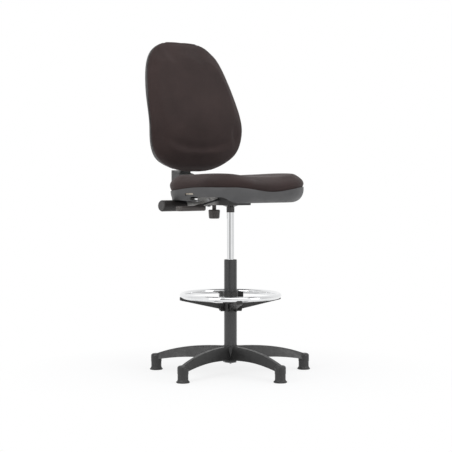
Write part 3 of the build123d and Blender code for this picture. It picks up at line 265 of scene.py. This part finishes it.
world = bpy.data.worlds.new("studio_air")
scene.world = world
world.use_nodes = True
air = world.node_tree
air.nodes.clear()
fill_light = air.nodes.new("ShaderNodeBackground")
fill_light.inputs["Color"].default_value = fill_colour
fill_light.inputs["Strength"].default_value = fill_strength
wall_light = air.nodes.new("ShaderNodeBackground")
wall_colour = air.nodes.new("ShaderNodeMix")
wall_colour.data_type = "RGBA"
wall_colour.inputs["A"].default_value = white
mirrored = air.nodes.new("ShaderNodeLightPath").outputs["Is Glossy Ray"]
air.links.new(mirrored, wall_colour.inputs["Factor"])
air.links.new(mirror_wall(air), wall_colour.inputs["B"])
air.links.new(wall_colour.outputs["Result"], wall_light.inputs["Color"])
choose = air.nodes.new("ShaderNodeMixShader")
air_out = air.nodes.new("ShaderNodeOutputWorld")
air.links.new(shown_rays(air), choose.inputs["Fac"])
air.links.new(fill_light.outputs[0], choose.inputs[1])
air.links.new(wall_light.outputs[0], choose.inputs[2])
air.links.new(choose.outputs[0], air_out.inputs["Surface"])
print("wall strips:", len(wall_strips))

# %% [markdown]
# ## Studio floor
# The floor keeps a trace of the chair's shadow and fades to plain white. It is a matt surface with a
# white glow laid over it: the glow's share grows with the distance from the column, until nothing of
# the matt surface is left.

# %% Studio floor
floor_half = 2.6
floor_grey = (0.92, 0.92, 0.92, 1)
fade_near, fade_far = 0.35, 0.9
glow_near, glow_far = 0.80, 1.0

floor_mesh = bpy.data.meshes.new("studio_floor")
corners = floor_half * np.array([(-1, -1, 0), (1, -1, 0), (1, 1, 0), (-1, 1, 0)], float)
floor_mesh.from_pydata(corners.tolist(), [], [(0, 1, 2, 3)])
studio_floor = bpy.data.objects.new("studio_floor", floor_mesh)
scene.collection.objects.link(studio_floor)
floor_paint = bpy.data.materials.new("floor_paint")
floor_paint.use_nodes = True
paint = floor_paint.node_tree
paint.nodes.clear()
matt = paint.nodes.new("ShaderNodeBsdfDiffuse")
matt.inputs["Color"].default_value = floor_grey
glow = paint.nodes.new("ShaderNodeEmission")
glow.inputs["Strength"].default_value = 1.0
away = paint.nodes.new("ShaderNodeVectorMath")
away.operation = "LENGTH"
paint.links.new(paint.nodes.new("ShaderNodeTexCoord").outputs["Object"], away.inputs[0])
fade = spread(paint, away.outputs["Value"], glow_near, glow_far, fade_near, fade_far)
blend_paint = paint.nodes.new("ShaderNodeMixShader")
paint_out = paint.nodes.new("ShaderNodeOutputMaterial")
paint.links.new(combine(paint, "MULTIPLY", shown_rays(paint), fade), blend_paint.inputs["Fac"])
paint.links.new(matt.outputs[0], blend_paint.inputs[1])
paint.links.new(glow.outputs[0], blend_paint.inputs[2])
paint.links.new(blend_paint.outputs[0], paint_out.inputs["Surface"])
floor_mesh.materials.append(floor_paint)
print("floor", 2 * floor_half, "m wide")

# %% [markdown]
# ## Lamps
# Three broad round lamps light the chair, the largest from above. The side lamps hang high enough
# that the upright chrome doesn't mirror them. Each row of the table is a name, a place, the point
# that the lamp looks at, its diameter and its power in watts.

# %% Lamps
lamps = [
    ("top_softbox", (-0.4, -0.8, 3.4), (0, 0, 0.6), 2.6, 34),
    ("left_softbox", (-3.2, -0.8, 1.7), (0, 0, 0.7), 1.6, 34),
    ("right_softbox", (1.2, -3.6, 1.6), (0, 0, 0.7), 1.6, 33),
]


def soft_lamp(name, place, target, size, power):
    """A round area lamp at a place, turned to a target."""
    data = bpy.data.lights.new(name, "AREA")
    data.shape = "DISK"
    data.size = size
    data.energy = power
    lamp = bpy.data.objects.new(name, data)
    scene.collection.objects.link(lamp)
    lamp.location = place
    lamp.rotation_euler = (Vector(target) - Vector(place)).to_track_quat("-Z", "Y").to_euler()


for lamp_row in lamps:
    soft_lamp(*lamp_row)
scene.view_settings.view_transform = "Standard"
print("lamps:", len(lamps))

# %% [markdown]
# ## Recipes for moulded plastic, coated steel and metal
# Nearly every rigid piece of such a chair is one of a few finishes. Moulded nylon has a fine eroded
# grain and a slightly uneven gloss; powder coat has a soft orange peel; chrome is clean with faint
# rub marks. Each is built from noise in the piece's own coordinates, so that it stays put when the
# piece moves, and constant values sit on the shader itself. The scales are in noise cells per metre.

# %% Material recipes
drift_scale, gloss_scale, grain_strength = 14, 55, 0.6
speckle_scale, coat_gloss_scale = 900, 40
peel_scale, peel_depth, peel_strength = 420, 0.04 * mm, 0.5
rub_scale, rub_strength = 160, 0.3


def new_finish(name):
    """An empty material with a principled shader; gives its tree, the shader and coordinates."""
    material = bpy.data.materials.new(name)
    material.use_nodes = True
    tree = material.node_tree
    tree.nodes.clear()
    out = tree.nodes.new("ShaderNodeOutputMaterial")
    shader = tree.nodes.new("ShaderNodeBsdfPrincipled")
    tree.links.new(shader.outputs["BSDF"], out.inputs["Surface"])
    return material, tree, shader, tree.nodes.new("ShaderNodeTexCoord").outputs["Object"]


def moulded(name, first, second, gloss, grain, depth):
    """Moulded plastic: grain bump, slow colour drift and uneven gloss."""
    material, tree, shader, where = new_finish(name)
    drift = noise(tree, where, drift_scale, 4)
    tree.links.new(two_tone(tree, drift, first, second), shader.inputs["Base Color"])
    sheen = noise(tree, where, gloss_scale, 5)
    tree.links.new(spread(tree, sheen, *gloss), shader.inputs["Roughness"])
    emboss(tree, shader, noise(tree, where, grain, 2), depth, grain_strength)
    return material


def orange_peel(tree, shader, where, gloss):
    """Uneven gloss and the soft ripple of a sprayed coat."""
    sheen = noise(tree, where, coat_gloss_scale, 4)
    tree.links.new(spread(tree, sheen, *gloss), shader.inputs["Roughness"])
    emboss(tree, shader, noise(tree, where, peel_scale, 2), peel_depth, peel_strength)


def coated(name, first, second, gloss):
    """Powder coat on steel: soft orange peel and fine speckle."""
    material, tree, shader, where = new_finish(name)
    speckle = noise(tree, where, speckle_scale, 2)
    tree.links.new(two_tone(tree, speckle, first, second), shader.inputs["Base Color"])
    orange_peel(tree, shader, where, gloss)
    return material


def plated(name, first, second, gloss, stretch, depth):
    """Bare or plated metal: rub marks drawn out along one axis."""
    material, tree, shader, where = new_finish(name)
    marks = noise(tree, where, rub_scale, 5, stretch)
    shader.inputs["Metallic"].default_value = 1.0
    tree.links.new(two_tone(tree, marks, first, second), shader.inputs["Base Color"])
    tree.links.new(spread(tree, marks, *gloss), shader.inputs["Roughness"])
    emboss(tree, shader, marks, depth, rub_strength)
    return material


print("recipes ready")

# %% [markdown]
# ## Finishes of the rigid pieces
# Now the recipes are filled in. A row holds the two tones that the colour drifts between and the
# range of the roughness. A plastic adds the scale and depth of its grain, and a metal adds how its
# rub marks are stretched and how deep they are. The blacks differ a little, as they do when the
# pieces come from different makers.

# %% Finishes
plastics = {
    "base_nylon": ((0.019, 0.0186, 0.0184), (0.026, 0.0255, 0.0252), (0.36, 0.5), 1500, 0.06 * mm),
    "glide_nylon": ((0.022, 0.0215, 0.021), (0.030, 0.029, 0.029), (0.42, 0.6), 1200, 0.06 * mm),
    "carrier_plastic": ((0.013, 0.0125, 0.012), (0.021, 0.020, 0.0195), (0.38, 0.55), 1500, 0.06 * mm),
    "control_plastic": ((0.060, 0.052, 0.048), (0.076, 0.067, 0.063), (0.4, 0.55), 1400, 0.06 * mm),
    "cap_plastic": ((0.050, 0.047, 0.046), (0.062, 0.059, 0.057), (0.45, 0.6), 1200, 0.05 * mm),
    "pan_plastic": ((0.057, 0.056, 0.057), (0.068, 0.067, 0.068), (0.42, 0.55), 1000, 0.1 * mm),
    "cover_plastic": ((0.072, 0.071, 0.071), (0.086, 0.085, 0.084), (0.45, 0.6), 1000, 0.1 * mm),
    "bush_plastic": ((0.03, 0.03, 0.03), (0.04, 0.04, 0.04), (0.3, 0.45), 900, 0.03 * mm),
    "shell_plastic": ((0.040, 0.037, 0.036), (0.050, 0.047, 0.046), (0.45, 0.6), 1000, 0.1 * mm),
    "rubber": ((0.02, 0.02, 0.02), (0.03, 0.03, 0.03), (0.6, 0.8), 700, 0.1 * mm),
    "grip_rubber": ((0.015, 0.0125, 0.012), (0.022, 0.0185, 0.018), (0.45, 0.6), 1300, 0.06 * mm),
}
coats = {
    "column_black": ((0.034, 0.0335, 0.0335), (0.046, 0.0455, 0.0455), (0.14, 0.22)),
    "socket_black": ((0.035, 0.033, 0.032), (0.05, 0.047, 0.045), (0.2, 0.32)),
}
metals = {
    "chrome": ((0.80, 0.81, 0.82), (0.86, 0.865, 0.87), (0.05, 0.10), (1, 1, 0.2), 0.01 * mm),
    "steel": ((0.45, 0.45, 0.46), (0.6, 0.6, 0.6), (0.25, 0.42), (1, 1, 0.1), 0.03 * mm),
}
finishes = {}
for recipe, table in ((moulded, plastics), (coated, coats), (plated, metals)):
    for name, row in table.items():
        finishes[name] = recipe(name, *row)
print("rigid finishes:", len(finishes))

# %% [markdown]
# ## The steel housing
# The pressing that carries the seat looks bright behind the column and dark ahead of it. One
# material does both: a ramp along the housing runs from a light zinc tone behind the column to a
# plain dark tone ahead of it, whose cause is not known. Where the change lies is a guess, since the
# column hides it.

# %% Housing finish
zinc_dark, zinc_light = (0.36, 0.35, 0.335), (0.50, 0.485, 0.46)
zinc_scale = 240
# Dark tone of the housing ahead of the column, set to how dark it looks there; its cause is not known.
housing_front_dark = (0.055, 0.053, 0.052, 1)
dark_tone_ends, zinc_starts = -5 * mm, 30 * mm
housing_gloss = (0.38, 0.52)


def pressing(name):
    """Steel pressing: a light zinc tone behind the column that runs over into a dark tone ahead of it.
    """
    material, tree, shader, where = new_finish(name)
    along = tree.nodes.new("ShaderNodeSeparateXYZ")
    tree.links.new(where, along.inputs[0])
    zinc = two_tone(tree, noise(tree, where, zinc_scale, 4), zinc_dark, zinc_light)
    blend_tone = tree.nodes.new("ShaderNodeMix")
    blend_tone.data_type = "RGBA"
    blend_tone.inputs["A"].default_value = housing_front_dark
    tree.links.new(zinc, blend_tone.inputs["B"])
    ramp = spread(tree, along.outputs["Y"], 0, 1, dark_tone_ends, zinc_starts)
    tree.links.new(ramp, blend_tone.inputs["Factor"])
    tree.links.new(blend_tone.outputs["Result"], shader.inputs["Base Color"])
    orange_peel(tree, shader, where, housing_gloss)
    return material


finishes["mech_paint"] = pressing("mech_paint")
print("housing finish ready")

# %% [markdown]
# ## Plywood
# The boards under the cushions are beech plywood. They are hardly seen, but their edges have the
# bands of the plies, so a wave across the board's thickness gives the layers and a stretched noise
# gives the grain.

# %% Plywood
ply_dark, ply_light = (0.62, 0.52, 0.40), (0.78, 0.70, 0.58)
ply_scale, ply_waver, ply_roughness = 130, 0.6, 0.6
fibre_scale, fibre_stretch, fibre_depth, fibre_strength = 60, (1, 12, 12), 0.2 * mm, 0.5

plywood, ply_tree, ply_shader, ply_where = new_finish("plywood")
layers = ply_tree.nodes.new("ShaderNodeTexWave")
layers.bands_direction = "Z"
layers.inputs["Scale"].default_value = ply_scale
layers.inputs["Distortion"].default_value = ply_waver
ply_tree.links.new(ply_where, layers.inputs["Vector"])
ply_tone = two_tone(ply_tree, layers.outputs["Fac"], ply_dark, ply_light, 0, 1)
ply_tree.links.new(ply_tone, ply_shader.inputs["Base Color"])
ply_shader.inputs["Roughness"].default_value = ply_roughness
fibres = noise(ply_tree, ply_where, fibre_scale, 5, fibre_stretch)
emboss(ply_tree, ply_shader, fibres, fibre_depth, fibre_strength)
finishes["plywood"] = plywood
print("plywood ready")

# %% [markdown]
# ## The upholstery cloth
# The chair wears a plain woven cloth, a dark warm charcoal. Up close such a cloth is rows of small
# threads over and under each other; from a step away it is matt with a soft bloom at grazing angles.
# Three sets of fine waves, one for each axis, give threads on a surface that faces any way, and the
# shader's sheen gives the bloom.

# %% Cloth material
cloth_dark, cloth_light = (0.0190, 0.0108, 0.0099), (0.0330, 0.0192, 0.0178)
thread_pitch = 1.7 * mm
wave_rate = 20  # a wave texture of scale 1 runs through 20 radians in a metre
thread_scale = 2 * math.pi / (wave_rate * thread_pitch)
heather_fine, heather_broad = 420, 9
heather_range = (0.7, 1.3)
weave_depth, weave_strength, weave_range = 0.25 * mm, 0.55, (0, 1.5)
cloth_gloss = (0.78, 0.95)
cloth_constants = {
    "Sheen Weight": 0.16,
    "Sheen Roughness": 0.45,
    "Sheen Tint": (0.9, 0.82, 0.8, 1),
    "Specular IOR Level": 0.3,
}


def thread_rows(tree, where, axis, scale):
    """Rows of threads across one axis, as a wave from 0 to 1."""
    wave = tree.nodes.new("ShaderNodeTexWave")
    wave.bands_direction = axis
    wave.inputs["Scale"].default_value = scale
    wave.inputs["Distortion"].default_value = 1.2
    wave.inputs["Detail"].default_value = 1.0
    wave.inputs["Detail Scale"].default_value = 2.0
    tree.links.new(where, wave.inputs["Vector"])
    return wave.outputs["Fac"]


def woven(name):
    """Woven cloth: crossed threads for bump and gloss, and two noises for the heathered colour."""
    material, tree, shader, where = new_finish(name)
    along_x, along_y, along_z = (thread_rows(tree, where, axis, thread_scale) for axis in "XYZ")
    weave = combine(tree, "ADD", combine(tree, "MULTIPLY", along_x, along_y), along_z)
    fine, broad = noise(tree, where, heather_fine, 3), noise(tree, where, heather_broad, 2)
    heather = combine(tree, "ADD", fine, broad)
    tone = two_tone(tree, heather, cloth_dark, cloth_light, *heather_range)
    tree.links.new(tone, shader.inputs["Base Color"])
    tree.links.new(spread(tree, weave, *cloth_gloss, *weave_range), shader.inputs["Roughness"])
    emboss(tree, shader, weave, weave_depth, weave_strength)
    for socket, value in cloth_constants.items():
        shader.inputs[socket].default_value = value
    return material


cloth = woven("charcoal_cloth")
finishes["fabric"] = cloth
print("cloth ready, thread pitch", round(thread_pitch / mm, 1), "mm")

# %% [markdown]
# ## Finishes onto the rigid pieces
# The model's record says which finish slot each piece belongs to, so the assignment is one pass.
# A few are set apart: the lock grip's sleeve is a darker, softer plastic than the other controls,
# the shell behind the back is charcoal like the cloth rather than grey like the pan, and the board
# inside the back shows only its edge, where the cover is pulled round it and stapled.

# %% Assign finishes
set_apart = {
    "handle_grip": "grip_rubber",
    "back_shell": "shell_plastic",
    "back_carriage": "shell_plastic",
    "back_board": "fabric",
}
for subpart in frame["record"]["subparts"]:
    name = subpart["node"]
    surfaces = nodes[name].data.materials
    surfaces.clear()
    surfaces.append(finishes[set_apart.get(name, subpart["material_slot"])])

# %% [markdown]
# ## The tension spring
# A short coil under the back's bracket pushes the back upright. It is wound from steel wire round a
# rod, so here a circle is swept along a helix. When the back reclines, the bracket presses the coil
# flat; here the coil is a piece of its own, at its rest length.

# %% Tension spring
spring_low, spring_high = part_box("tension_spring")
wire_radius, spring_turns = 1.6 * mm, 3


def coil(turns, steps=40, sides=12):
    """Circle swept along a helix: each point of the helix, plus the wire's radius along the outward
    direction and along the direction across both that and the tangent."""
    middle = (spring_low + spring_high) / 2
    radius = (spring_high.x - spring_low.x) / 2 - wire_radius
    climb = spring_high.z - spring_low.z - 2 * wire_radius
    turn = np.linspace(0, 2 * math.pi * turns, turns * steps + 1)
    sine, cosine, same = np.sin(turn), np.cos(turn), np.ones_like(turn)
    out = np.stack([cosine, sine, np.zeros_like(turn)], -1)
    ahead = np.stack([-radius * sine, radius * cosine, same * (climb / turn[-1])], -1)
    across = np.cross(ahead, out) / np.linalg.norm(ahead, axis=1, keepdims=True)
    height = spring_low.z + wire_radius + climb * turn / turn[-1]
    path = radius * out + np.stack([same * middle.x, same * middle.y, height], -1)
    wire = np.linspace(0, 2 * math.pi, sides, endpoint=False)[:, None]
    ring = np.cos(wire) * out[:, None] + np.sin(wire) * across[:, None]
    return path[:, None] + wire_radius * ring


tension_coil = skin("tension_coil", coil(spring_turns))
tension_coil.data.materials.append(finishes["steel"])
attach(tension_coil, "seat_frame")
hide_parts("tension_spring")
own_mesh(tension_coil)
print("spring height", round((spring_high.z - spring_low.z) / mm, 1), "mm")

# %% [markdown]
# ## Plumping a cushion
# Foam in a tight cover is a little fuller than its pattern. Blender's cloth can find that shape: the
# closed pad is remeshed into even cells, held where the board carries it, and blown up by a pressure
# for a few frames. Foam under tight cloth doesn't pucker, so the swelling is evened out over
# neighbouring points. Left free it comes to several times what a stapled cover allows, so it is cut
# to a cap of a few millimetres, and the outline stays where it was drawn.

# %% Plumping tool
pad_cell, pad_pressure, swell_cap = 5 * mm, 4.0, 4 * mm
swell_frames, evening_rounds = 20, 30
cover_stretch, cover_shear, cover_bend = 18, 8, 1.5


def evened(mesh, values, rounds):
    """Even out values on a mesh: in each round every point takes the mean of itself and the
    average of its neighbours along the edges."""
    ends = np.empty(len(mesh.edges) * 2, np.int32)
    mesh.edges.foreach_get("vertices", ends)
    first, second = ends.reshape(-1, 2).T
    count = np.bincount(ends, minlength=len(values))[:, None]
    for _ in range(rounds):
        total = np.zeros_like(values)
        np.add.at(total, first, values[second])
        np.add.at(total, second, values[first])
        values = (values + total / count) / 2
    return values


def point_places(mesh):
    """Places of a mesh's points as an array of shape (points, 3)."""
    flat = np.empty(len(mesh.vertices) * 3)
    mesh.vertices.foreach_get("co", flat)
    return flat.reshape(-1, 3)


def plump(piece, held):
    """Even remesh, cloth under pressure with the held points pinned, and each point's movement
    cut to the cap along its own direction."""
    bpy.context.view_layer.objects.active = piece
    remesh = piece.modifiers.new("even_cells", "REMESH")
    remesh.mode = "VOXEL"
    remesh.voxel_size = pad_cell
    bpy.ops.object.modifier_apply(modifier=remesh.name)
    rest = point_places(piece.data)
    group = piece.vertex_groups.new(name="held")
    group.add(np.flatnonzero(held(rest)).tolist(), 1.0, "REPLACE")
    cloth_step = piece.modifiers.new("swell", "CLOTH")
    settings = cloth_step.settings
    settings.vertex_group_mass = group.name
    settings.use_pressure = True
    settings.uniform_pressure_force = pad_pressure
    settings.effector_weights.gravity = 0
    settings.tension_stiffness = settings.compression_stiffness = cover_stretch
    settings.shear_stiffness = cover_shear
    settings.bending_stiffness = cover_bend
    cloth_step.point_cache.frame_start, cloth_step.point_cache.frame_end = 1, swell_frames
    for number in range(1, swell_frames + 1):
        scene.frame_set(number)
    swollen = piece.evaluated_get(bpy.context.evaluated_depsgraph_get()).data
    step = evened(piece.data, point_places(swollen) - rest, evening_rounds)
    length = np.linalg.norm(step, axis=1, keepdims=True)
    step *= np.minimum(1, swell_cap / np.maximum(length, 1e-9))
    piece.modifiers.remove(cloth_step)
    scene.frame_set(1)
    piece.data.vertices.foreach_set("co", (rest + step).ravel())
    piece.data.polygons.foreach_set("use_smooth", np.ones(len(piece.data.polygons), bool))
    piece.data.update()
    free, kept = (round(size / mm, 1) for size in (length.max(), min(length.max(), swell_cap)))
    print(piece.name, "points", len(rest), "free swelling", free, "mm, cut to", kept, "mm")


def finer(piece):
    """One level of subdivision, the same in the view and in the render."""
    smooth = piece.modifiers.new("finer", "SUBSURF")
    smooth.levels = smooth.render_levels = 1


print("plumping tool ready")

# %% [markdown]
# ## The rolled edge of a cushion
# Both cushions turn over at the rim in the same way. Near the rim the surface follows a
# superellipse, which stands up steeply from the edge and then turns over into the top. The rings of
# the grid lie close together over that roll and evenly apart from there to the middle.

# %% Rolled edge
middle_share = 0.97  # how far in the last ring lies; the fan closes the rest
hole_share = 0.05  # size of the first ring of an underside, closed by the other fan


def inward(depth, roll, edge_steps, inner_steps):
    """Distances in from the rim, one row for each ring: over the roll they follow 1 - cos, and
    from the roll to the middle they rise evenly."""
    edge = np.linspace(0, math.pi / 2, edge_steps)
    inside = np.linspace(0, 1, inner_steps)[1:-1, None]
    over = roll * (1 - np.cos(edge))[:, None] * np.ones_like(depth)
    return np.concatenate([over, roll + (depth - roll) * middle_share * inside])


def edge_rise(distance, roll, power):
    """Share of the full height at a distance d in from the rim: (1 - (1 - d/w)^n)^(1/n), with w
    the width of the roll and n the power of the superellipse."""
    return (1 - np.clip(1 - distance / roll, 0, 1) ** power) ** (1 / power)


print("rolled edge ready")

# %% [markdown]
# ## The form of the seat
# The seat is dished: the middle is low, the two sides rise into soft bolsters and the front rolls
# down like a waterfall. Its lower edge follows the waved rim of the grey pan. Three functions hold
# that form: the outline from above, the height of the rim and the height of the top. Heights that
# are only summed are in millimetres until the end.

# %% Seat form
seat_half_width, seat_half_depth = 230 * mm, 215 * mm
seat_corner, seat_middle = 140 * mm, -39 * mm
board_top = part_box("seat_board")[1].z
rim_side_y, rim_side_height = [-256, -185, -39, 106, 178], [727, 726.5, 724, 710, 709]
rim_front_x, rim_front_height = [-231, -136.7, 0, 136.7, 231], [727, 724, 709, 724, 727]
dish_height = 762
bolster_x, bolster_width = 165 * mm, 66 * mm
bolster_rise, bolster_more_ahead = 6, 6.5
ahead_y, ahead_reach = -120 * mm, 150 * mm
rear_fall_start, rear_fall_reach, rear_drop = 60 * mm, 115 * mm, 2
loop_samples = 1441


def seat_loop(count):
    """Walk round a rectangle with round corners at even steps: corner arcs from their normals,
    with the straight sides filled in by length. Gives points about the seat's middle and normals."""
    turn = np.linspace(0, 2 * math.pi, loop_samples) + 1e-6
    normal = np.stack([np.cos(turn), np.sin(turn)], -1)
    centre = np.sign(normal) * [seat_half_width - seat_corner, seat_half_depth - seat_corner]
    dense = centre + seat_corner * normal
    walked = np.concatenate([[0], np.cumsum(np.linalg.norm(np.diff(dense, axis=0), axis=1))])
    at = np.linspace(0, walked[-1], count, endpoint=False)
    angle = np.interp(at, walked, turn)
    points = np.stack([np.interp(at, walked, dense[:, 0]), np.interp(at, walked, dense[:, 1])], -1)
    return points, np.stack([np.cos(angle), np.sin(angle)], -1)


def rim_height(x, y):
    """Height of the pan's rim: the lower of a wave along the sides and a wave across the front."""
    side = spline_through(rim_side_y, rim_side_height, y / mm)
    front = spline_through(rim_front_x, rim_front_height, x / mm)
    return np.minimum(side, front) * mm


def seat_top(x, y):
    """Height of the seat's top without its edge: a low middle, a bolster along each side that
    stands highest towards the front, and a slow fall to the rear."""
    bolster = np.exp(-(((np.abs(x) - bolster_x) / bolster_width) ** 2))
    ahead = np.exp(-(((y - ahead_y) / ahead_reach) ** 2))
    rear_fall = np.clip((y - rear_fall_start) / rear_fall_reach, 0, 1) ** 2
    rise = (bolster_rise + bolster_more_ahead * ahead) * bolster
    return (dish_height + rise - rear_drop * rear_fall) * mm


print("seat", 2 * seat_half_width, "by", 2 * seat_half_depth, "m")

# %% [markdown]
# ## The seat cushion
# The surface is worked out ring by ring: from the middle of the underside to the rim, then over the
# rolled edge to the middle of the top. The roll is widest at the front, where the waterfall is, and
# the side of the cushion swells a little over the pan before it tucks in at the rim.

# %% Seat cushion
seat_roll_side, seat_roll_front_more, seat_roll_rear_less = 38, 34, 8
seat_power = 2.3
seat_swell_side, seat_swell_rear_more, seat_swell_end = 6, 6, 0.9
seat_tuck, seat_tuck_power = 4.4 * mm, 6
seat_gap, seat_hold, seat_under_rings = 0.6 * mm, 4 * mm, 22


def seat_surface(columns=240):
    """Rings from the middle of the underside to the rim and over the edge to the middle of the
    top. The height rises from the rim to the top by the share of the rolled edge."""
    loop, normal = seat_loop(columns)
    depth = (loop * normal).sum(1)
    front, rear = np.clip(-normal[:, 1], 0, 1) ** 2, np.clip(normal[:, 1], 0, 1) ** 2
    roll = (seat_roll_side + seat_roll_front_more * front - seat_roll_rear_less * rear) * mm
    distance = inward(depth, roll, edge_steps=26, inner_steps=34)
    flat = loop * (1 - distance / depth)[..., None] + [0, seat_middle]
    rise = edge_rise(distance, roll, seat_power)
    rim = rim_height(loop[:, 0], loop[:, 1] + seat_middle)
    height = rim + (seat_top(flat[..., 0], flat[..., 1]) - rim) * rise
    bulge = np.sin(math.pi * np.clip(rise / seat_swell_end, 0, 1))
    swell = (seat_swell_side + seat_swell_rear_more * rear) * mm * bulge
    swell = swell - seat_tuck * (1 - rise) ** seat_tuck_power
    flat = flat + normal * (swell * (distance < roll))[..., None]
    top = np.concatenate([flat, height[..., None]], -1)
    under_share = np.linspace(hole_share, 1, seat_under_rings)[:, None, None]
    under = (loop - normal * seat_tuck) * under_share + [0, seat_middle]
    lift = np.full(under.shape[:2], board_top + seat_gap)
    bottom = np.concatenate([under, lift[..., None]], -1)
    return np.concatenate([bottom, top])


seat_pad = skin("seat_pad", seat_surface())
plump(seat_pad, lambda p: p[:, 2] < rim_height(p[:, 0], p[:, 1]) + seat_hold)
finer(seat_pad)
seat_pad.data.materials.append(cloth)
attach(seat_pad, "seat_frame")
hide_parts("seat_cushion")
print("seat pad height", [round(v, 4) for v in (board_top, seat_pad.dimensions.z)])

# %% [markdown]
# ## The form of the back
# The back is wide at the hips and narrows to round shoulders. Its outline is a spline of radius
# against angle about a point in the middle. From the side it is a gentle S, so the front and rear
# faces on the centre line are given at a few levels, and the pad meets the board at a fixed share of
# the way between them.

# %% Back form
back_centre_z = 1030 * mm
parting_share = 0.64
# Right half of the outline, in mm: distance from the centre line and height
back_half = np.array([
    (0, 785), (44, 786), (95, 794), (157, 820), (193, 846), (212, 872),
    (222, 896), (229, 948), (227.5, 1000), (217.5, 1072), (204, 1140), (188, 1196),
    (164, 1247), (140, 1273), (107, 1294), (72, 1303.5), (0, 1305.5),
])
# Levels, in mm: height, front face and rear face on the centre line
back_levels = np.array([
    (788, 208, 248), (798.3, 197, 262), (824.1, 187, 263), (848.4, 183, 250), (873.1, 181, 239),
    (896.4, 180, 233), (948, 178, 228), (1071.8, 208, 262), (1195.6, 254, 306),
    (1247.2, 275, 320), (1273, 287, 327), (1293.7, 298, 330), (1304, 308, 327),
])
levels_z, front_y, rear_y = back_levels.T


def back_loop(count):
    """Outline in the front view: the right half's measured points as radius against angle about
    a centre, a natural spline through them, and the mirror image for the left half."""
    x, z = back_half[:, 0] * mm, back_half[:, 1] * mm - back_centre_z
    turn = np.linspace(-math.pi / 2, 1.5 * math.pi, count, endpoint=False)
    folded = np.where(turn > math.pi / 2, math.pi - turn, turn)
    radius = spline_through(np.arctan2(z, x), np.hypot(x, z), folded)
    loop = radius[:, None] * np.stack([np.cos(turn), np.sin(turn)], -1)
    ahead = np.roll(loop, -1, axis=0) - np.roll(loop, 1, axis=0)
    normal = np.stack([ahead[:, 1], -ahead[:, 0]], -1)
    return loop, normal / np.linalg.norm(normal, axis=1, keepdims=True)


def back_front(z):
    """Front face at the centre line, by height."""
    return spline_through(levels_z, front_y, z / mm) * mm


def back_parting(z):
    """Where the pad meets the board, by height: a fixed share of the way from front to rear."""
    rear = spline_through(levels_z, rear_y, z / mm) * mm
    return back_front(z) + parting_share * (rear - back_front(z))


print("back outline points:", len(back_half))

# %% [markdown]
# ## The back cushion
# The pad has the seat's rolled edge, with a fuller power, so that the side stands up like a sewn
# band before it turns over. A fold runs across the lower part of the front, above a soft roll for
# the small of the back. Both sag towards the sides and fade out there.

# %% Back cushion
back_roll, back_power, back_swell = 42 * mm, 3.0, 4 * mm
back_gap, back_hold = 0.2 * mm, 5 * mm
back_under_end, back_under_rings = 0.995, 24
crown_depth, crown_reach = 8 * mm, 226 * mm
fade_reach = 165 * mm
sag_depth, sag_reach = 34 * mm, 170 * mm
fold_depth, fold_height, fold_width = 5.0 * mm, 878 * mm, 16 * mm
lumbar_depth, lumbar_height, lumbar_width = 4.0 * mm, 846 * mm, 20 * mm


def front_relief(x, z):
    """How far the front stands back from the centre line: a shallow crown across the width, a
    fold at hip height that fades towards the sides, and a fuller roll under it."""
    crown = crown_depth * (x / crown_reach) ** 2
    across = np.exp(-((x / fade_reach) ** 4))
    low = z - sag_depth * (x / sag_reach) ** 2
    fold = fold_depth * np.exp(-(((low - fold_height) / fold_width) ** 2)) * across
    lumbar = lumbar_depth * np.exp(-(((low - lumbar_height) / lumbar_width) ** 2)) * across
    return crown + fold - lumbar


def back_surface(columns=260):
    """Rings from the middle of the rear to the parting edge, over the side band and the rounded
    front edge, and in to the middle of the front."""
    loop, normal = back_loop(columns)
    depth = (loop * normal).sum(1)
    distance = inward(depth, back_roll, edge_steps=24, inner_steps=40)
    flat = loop * (1 - distance / depth)[..., None]
    rise = edge_rise(distance, back_roll, back_power)
    swell = back_swell * np.sin(math.pi * np.clip(rise, 0, 1)) * (distance < back_roll)
    flat = flat + normal * swell[..., None]
    x, z = flat[..., 0], flat[..., 1] + back_centre_z
    edge = back_parting(z)
    face = back_front(z) + front_relief(x, z)
    front = np.stack([x, edge - (edge - face) * rise, z], -1)
    under_share = np.linspace(hole_share, back_under_end, back_under_rings)[:, None, None]
    under = loop * under_share
    under_z = under[..., 1] + back_centre_z
    rear = np.stack([under[..., 0], back_parting(under_z) - back_gap, under_z], -1)
    return np.concatenate([rear, front])


back_pad = skin("back_pad", back_surface())
plump(back_pad, lambda p: p[:, 1] > back_parting(p[:, 2]) - back_hold)
finer(back_pad)
back_pad.data.materials.append(cloth)
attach(back_pad, "backrest")
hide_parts("back_cushion")
print("back pad", [round(v, 3) for v in back_pad.dimensions])
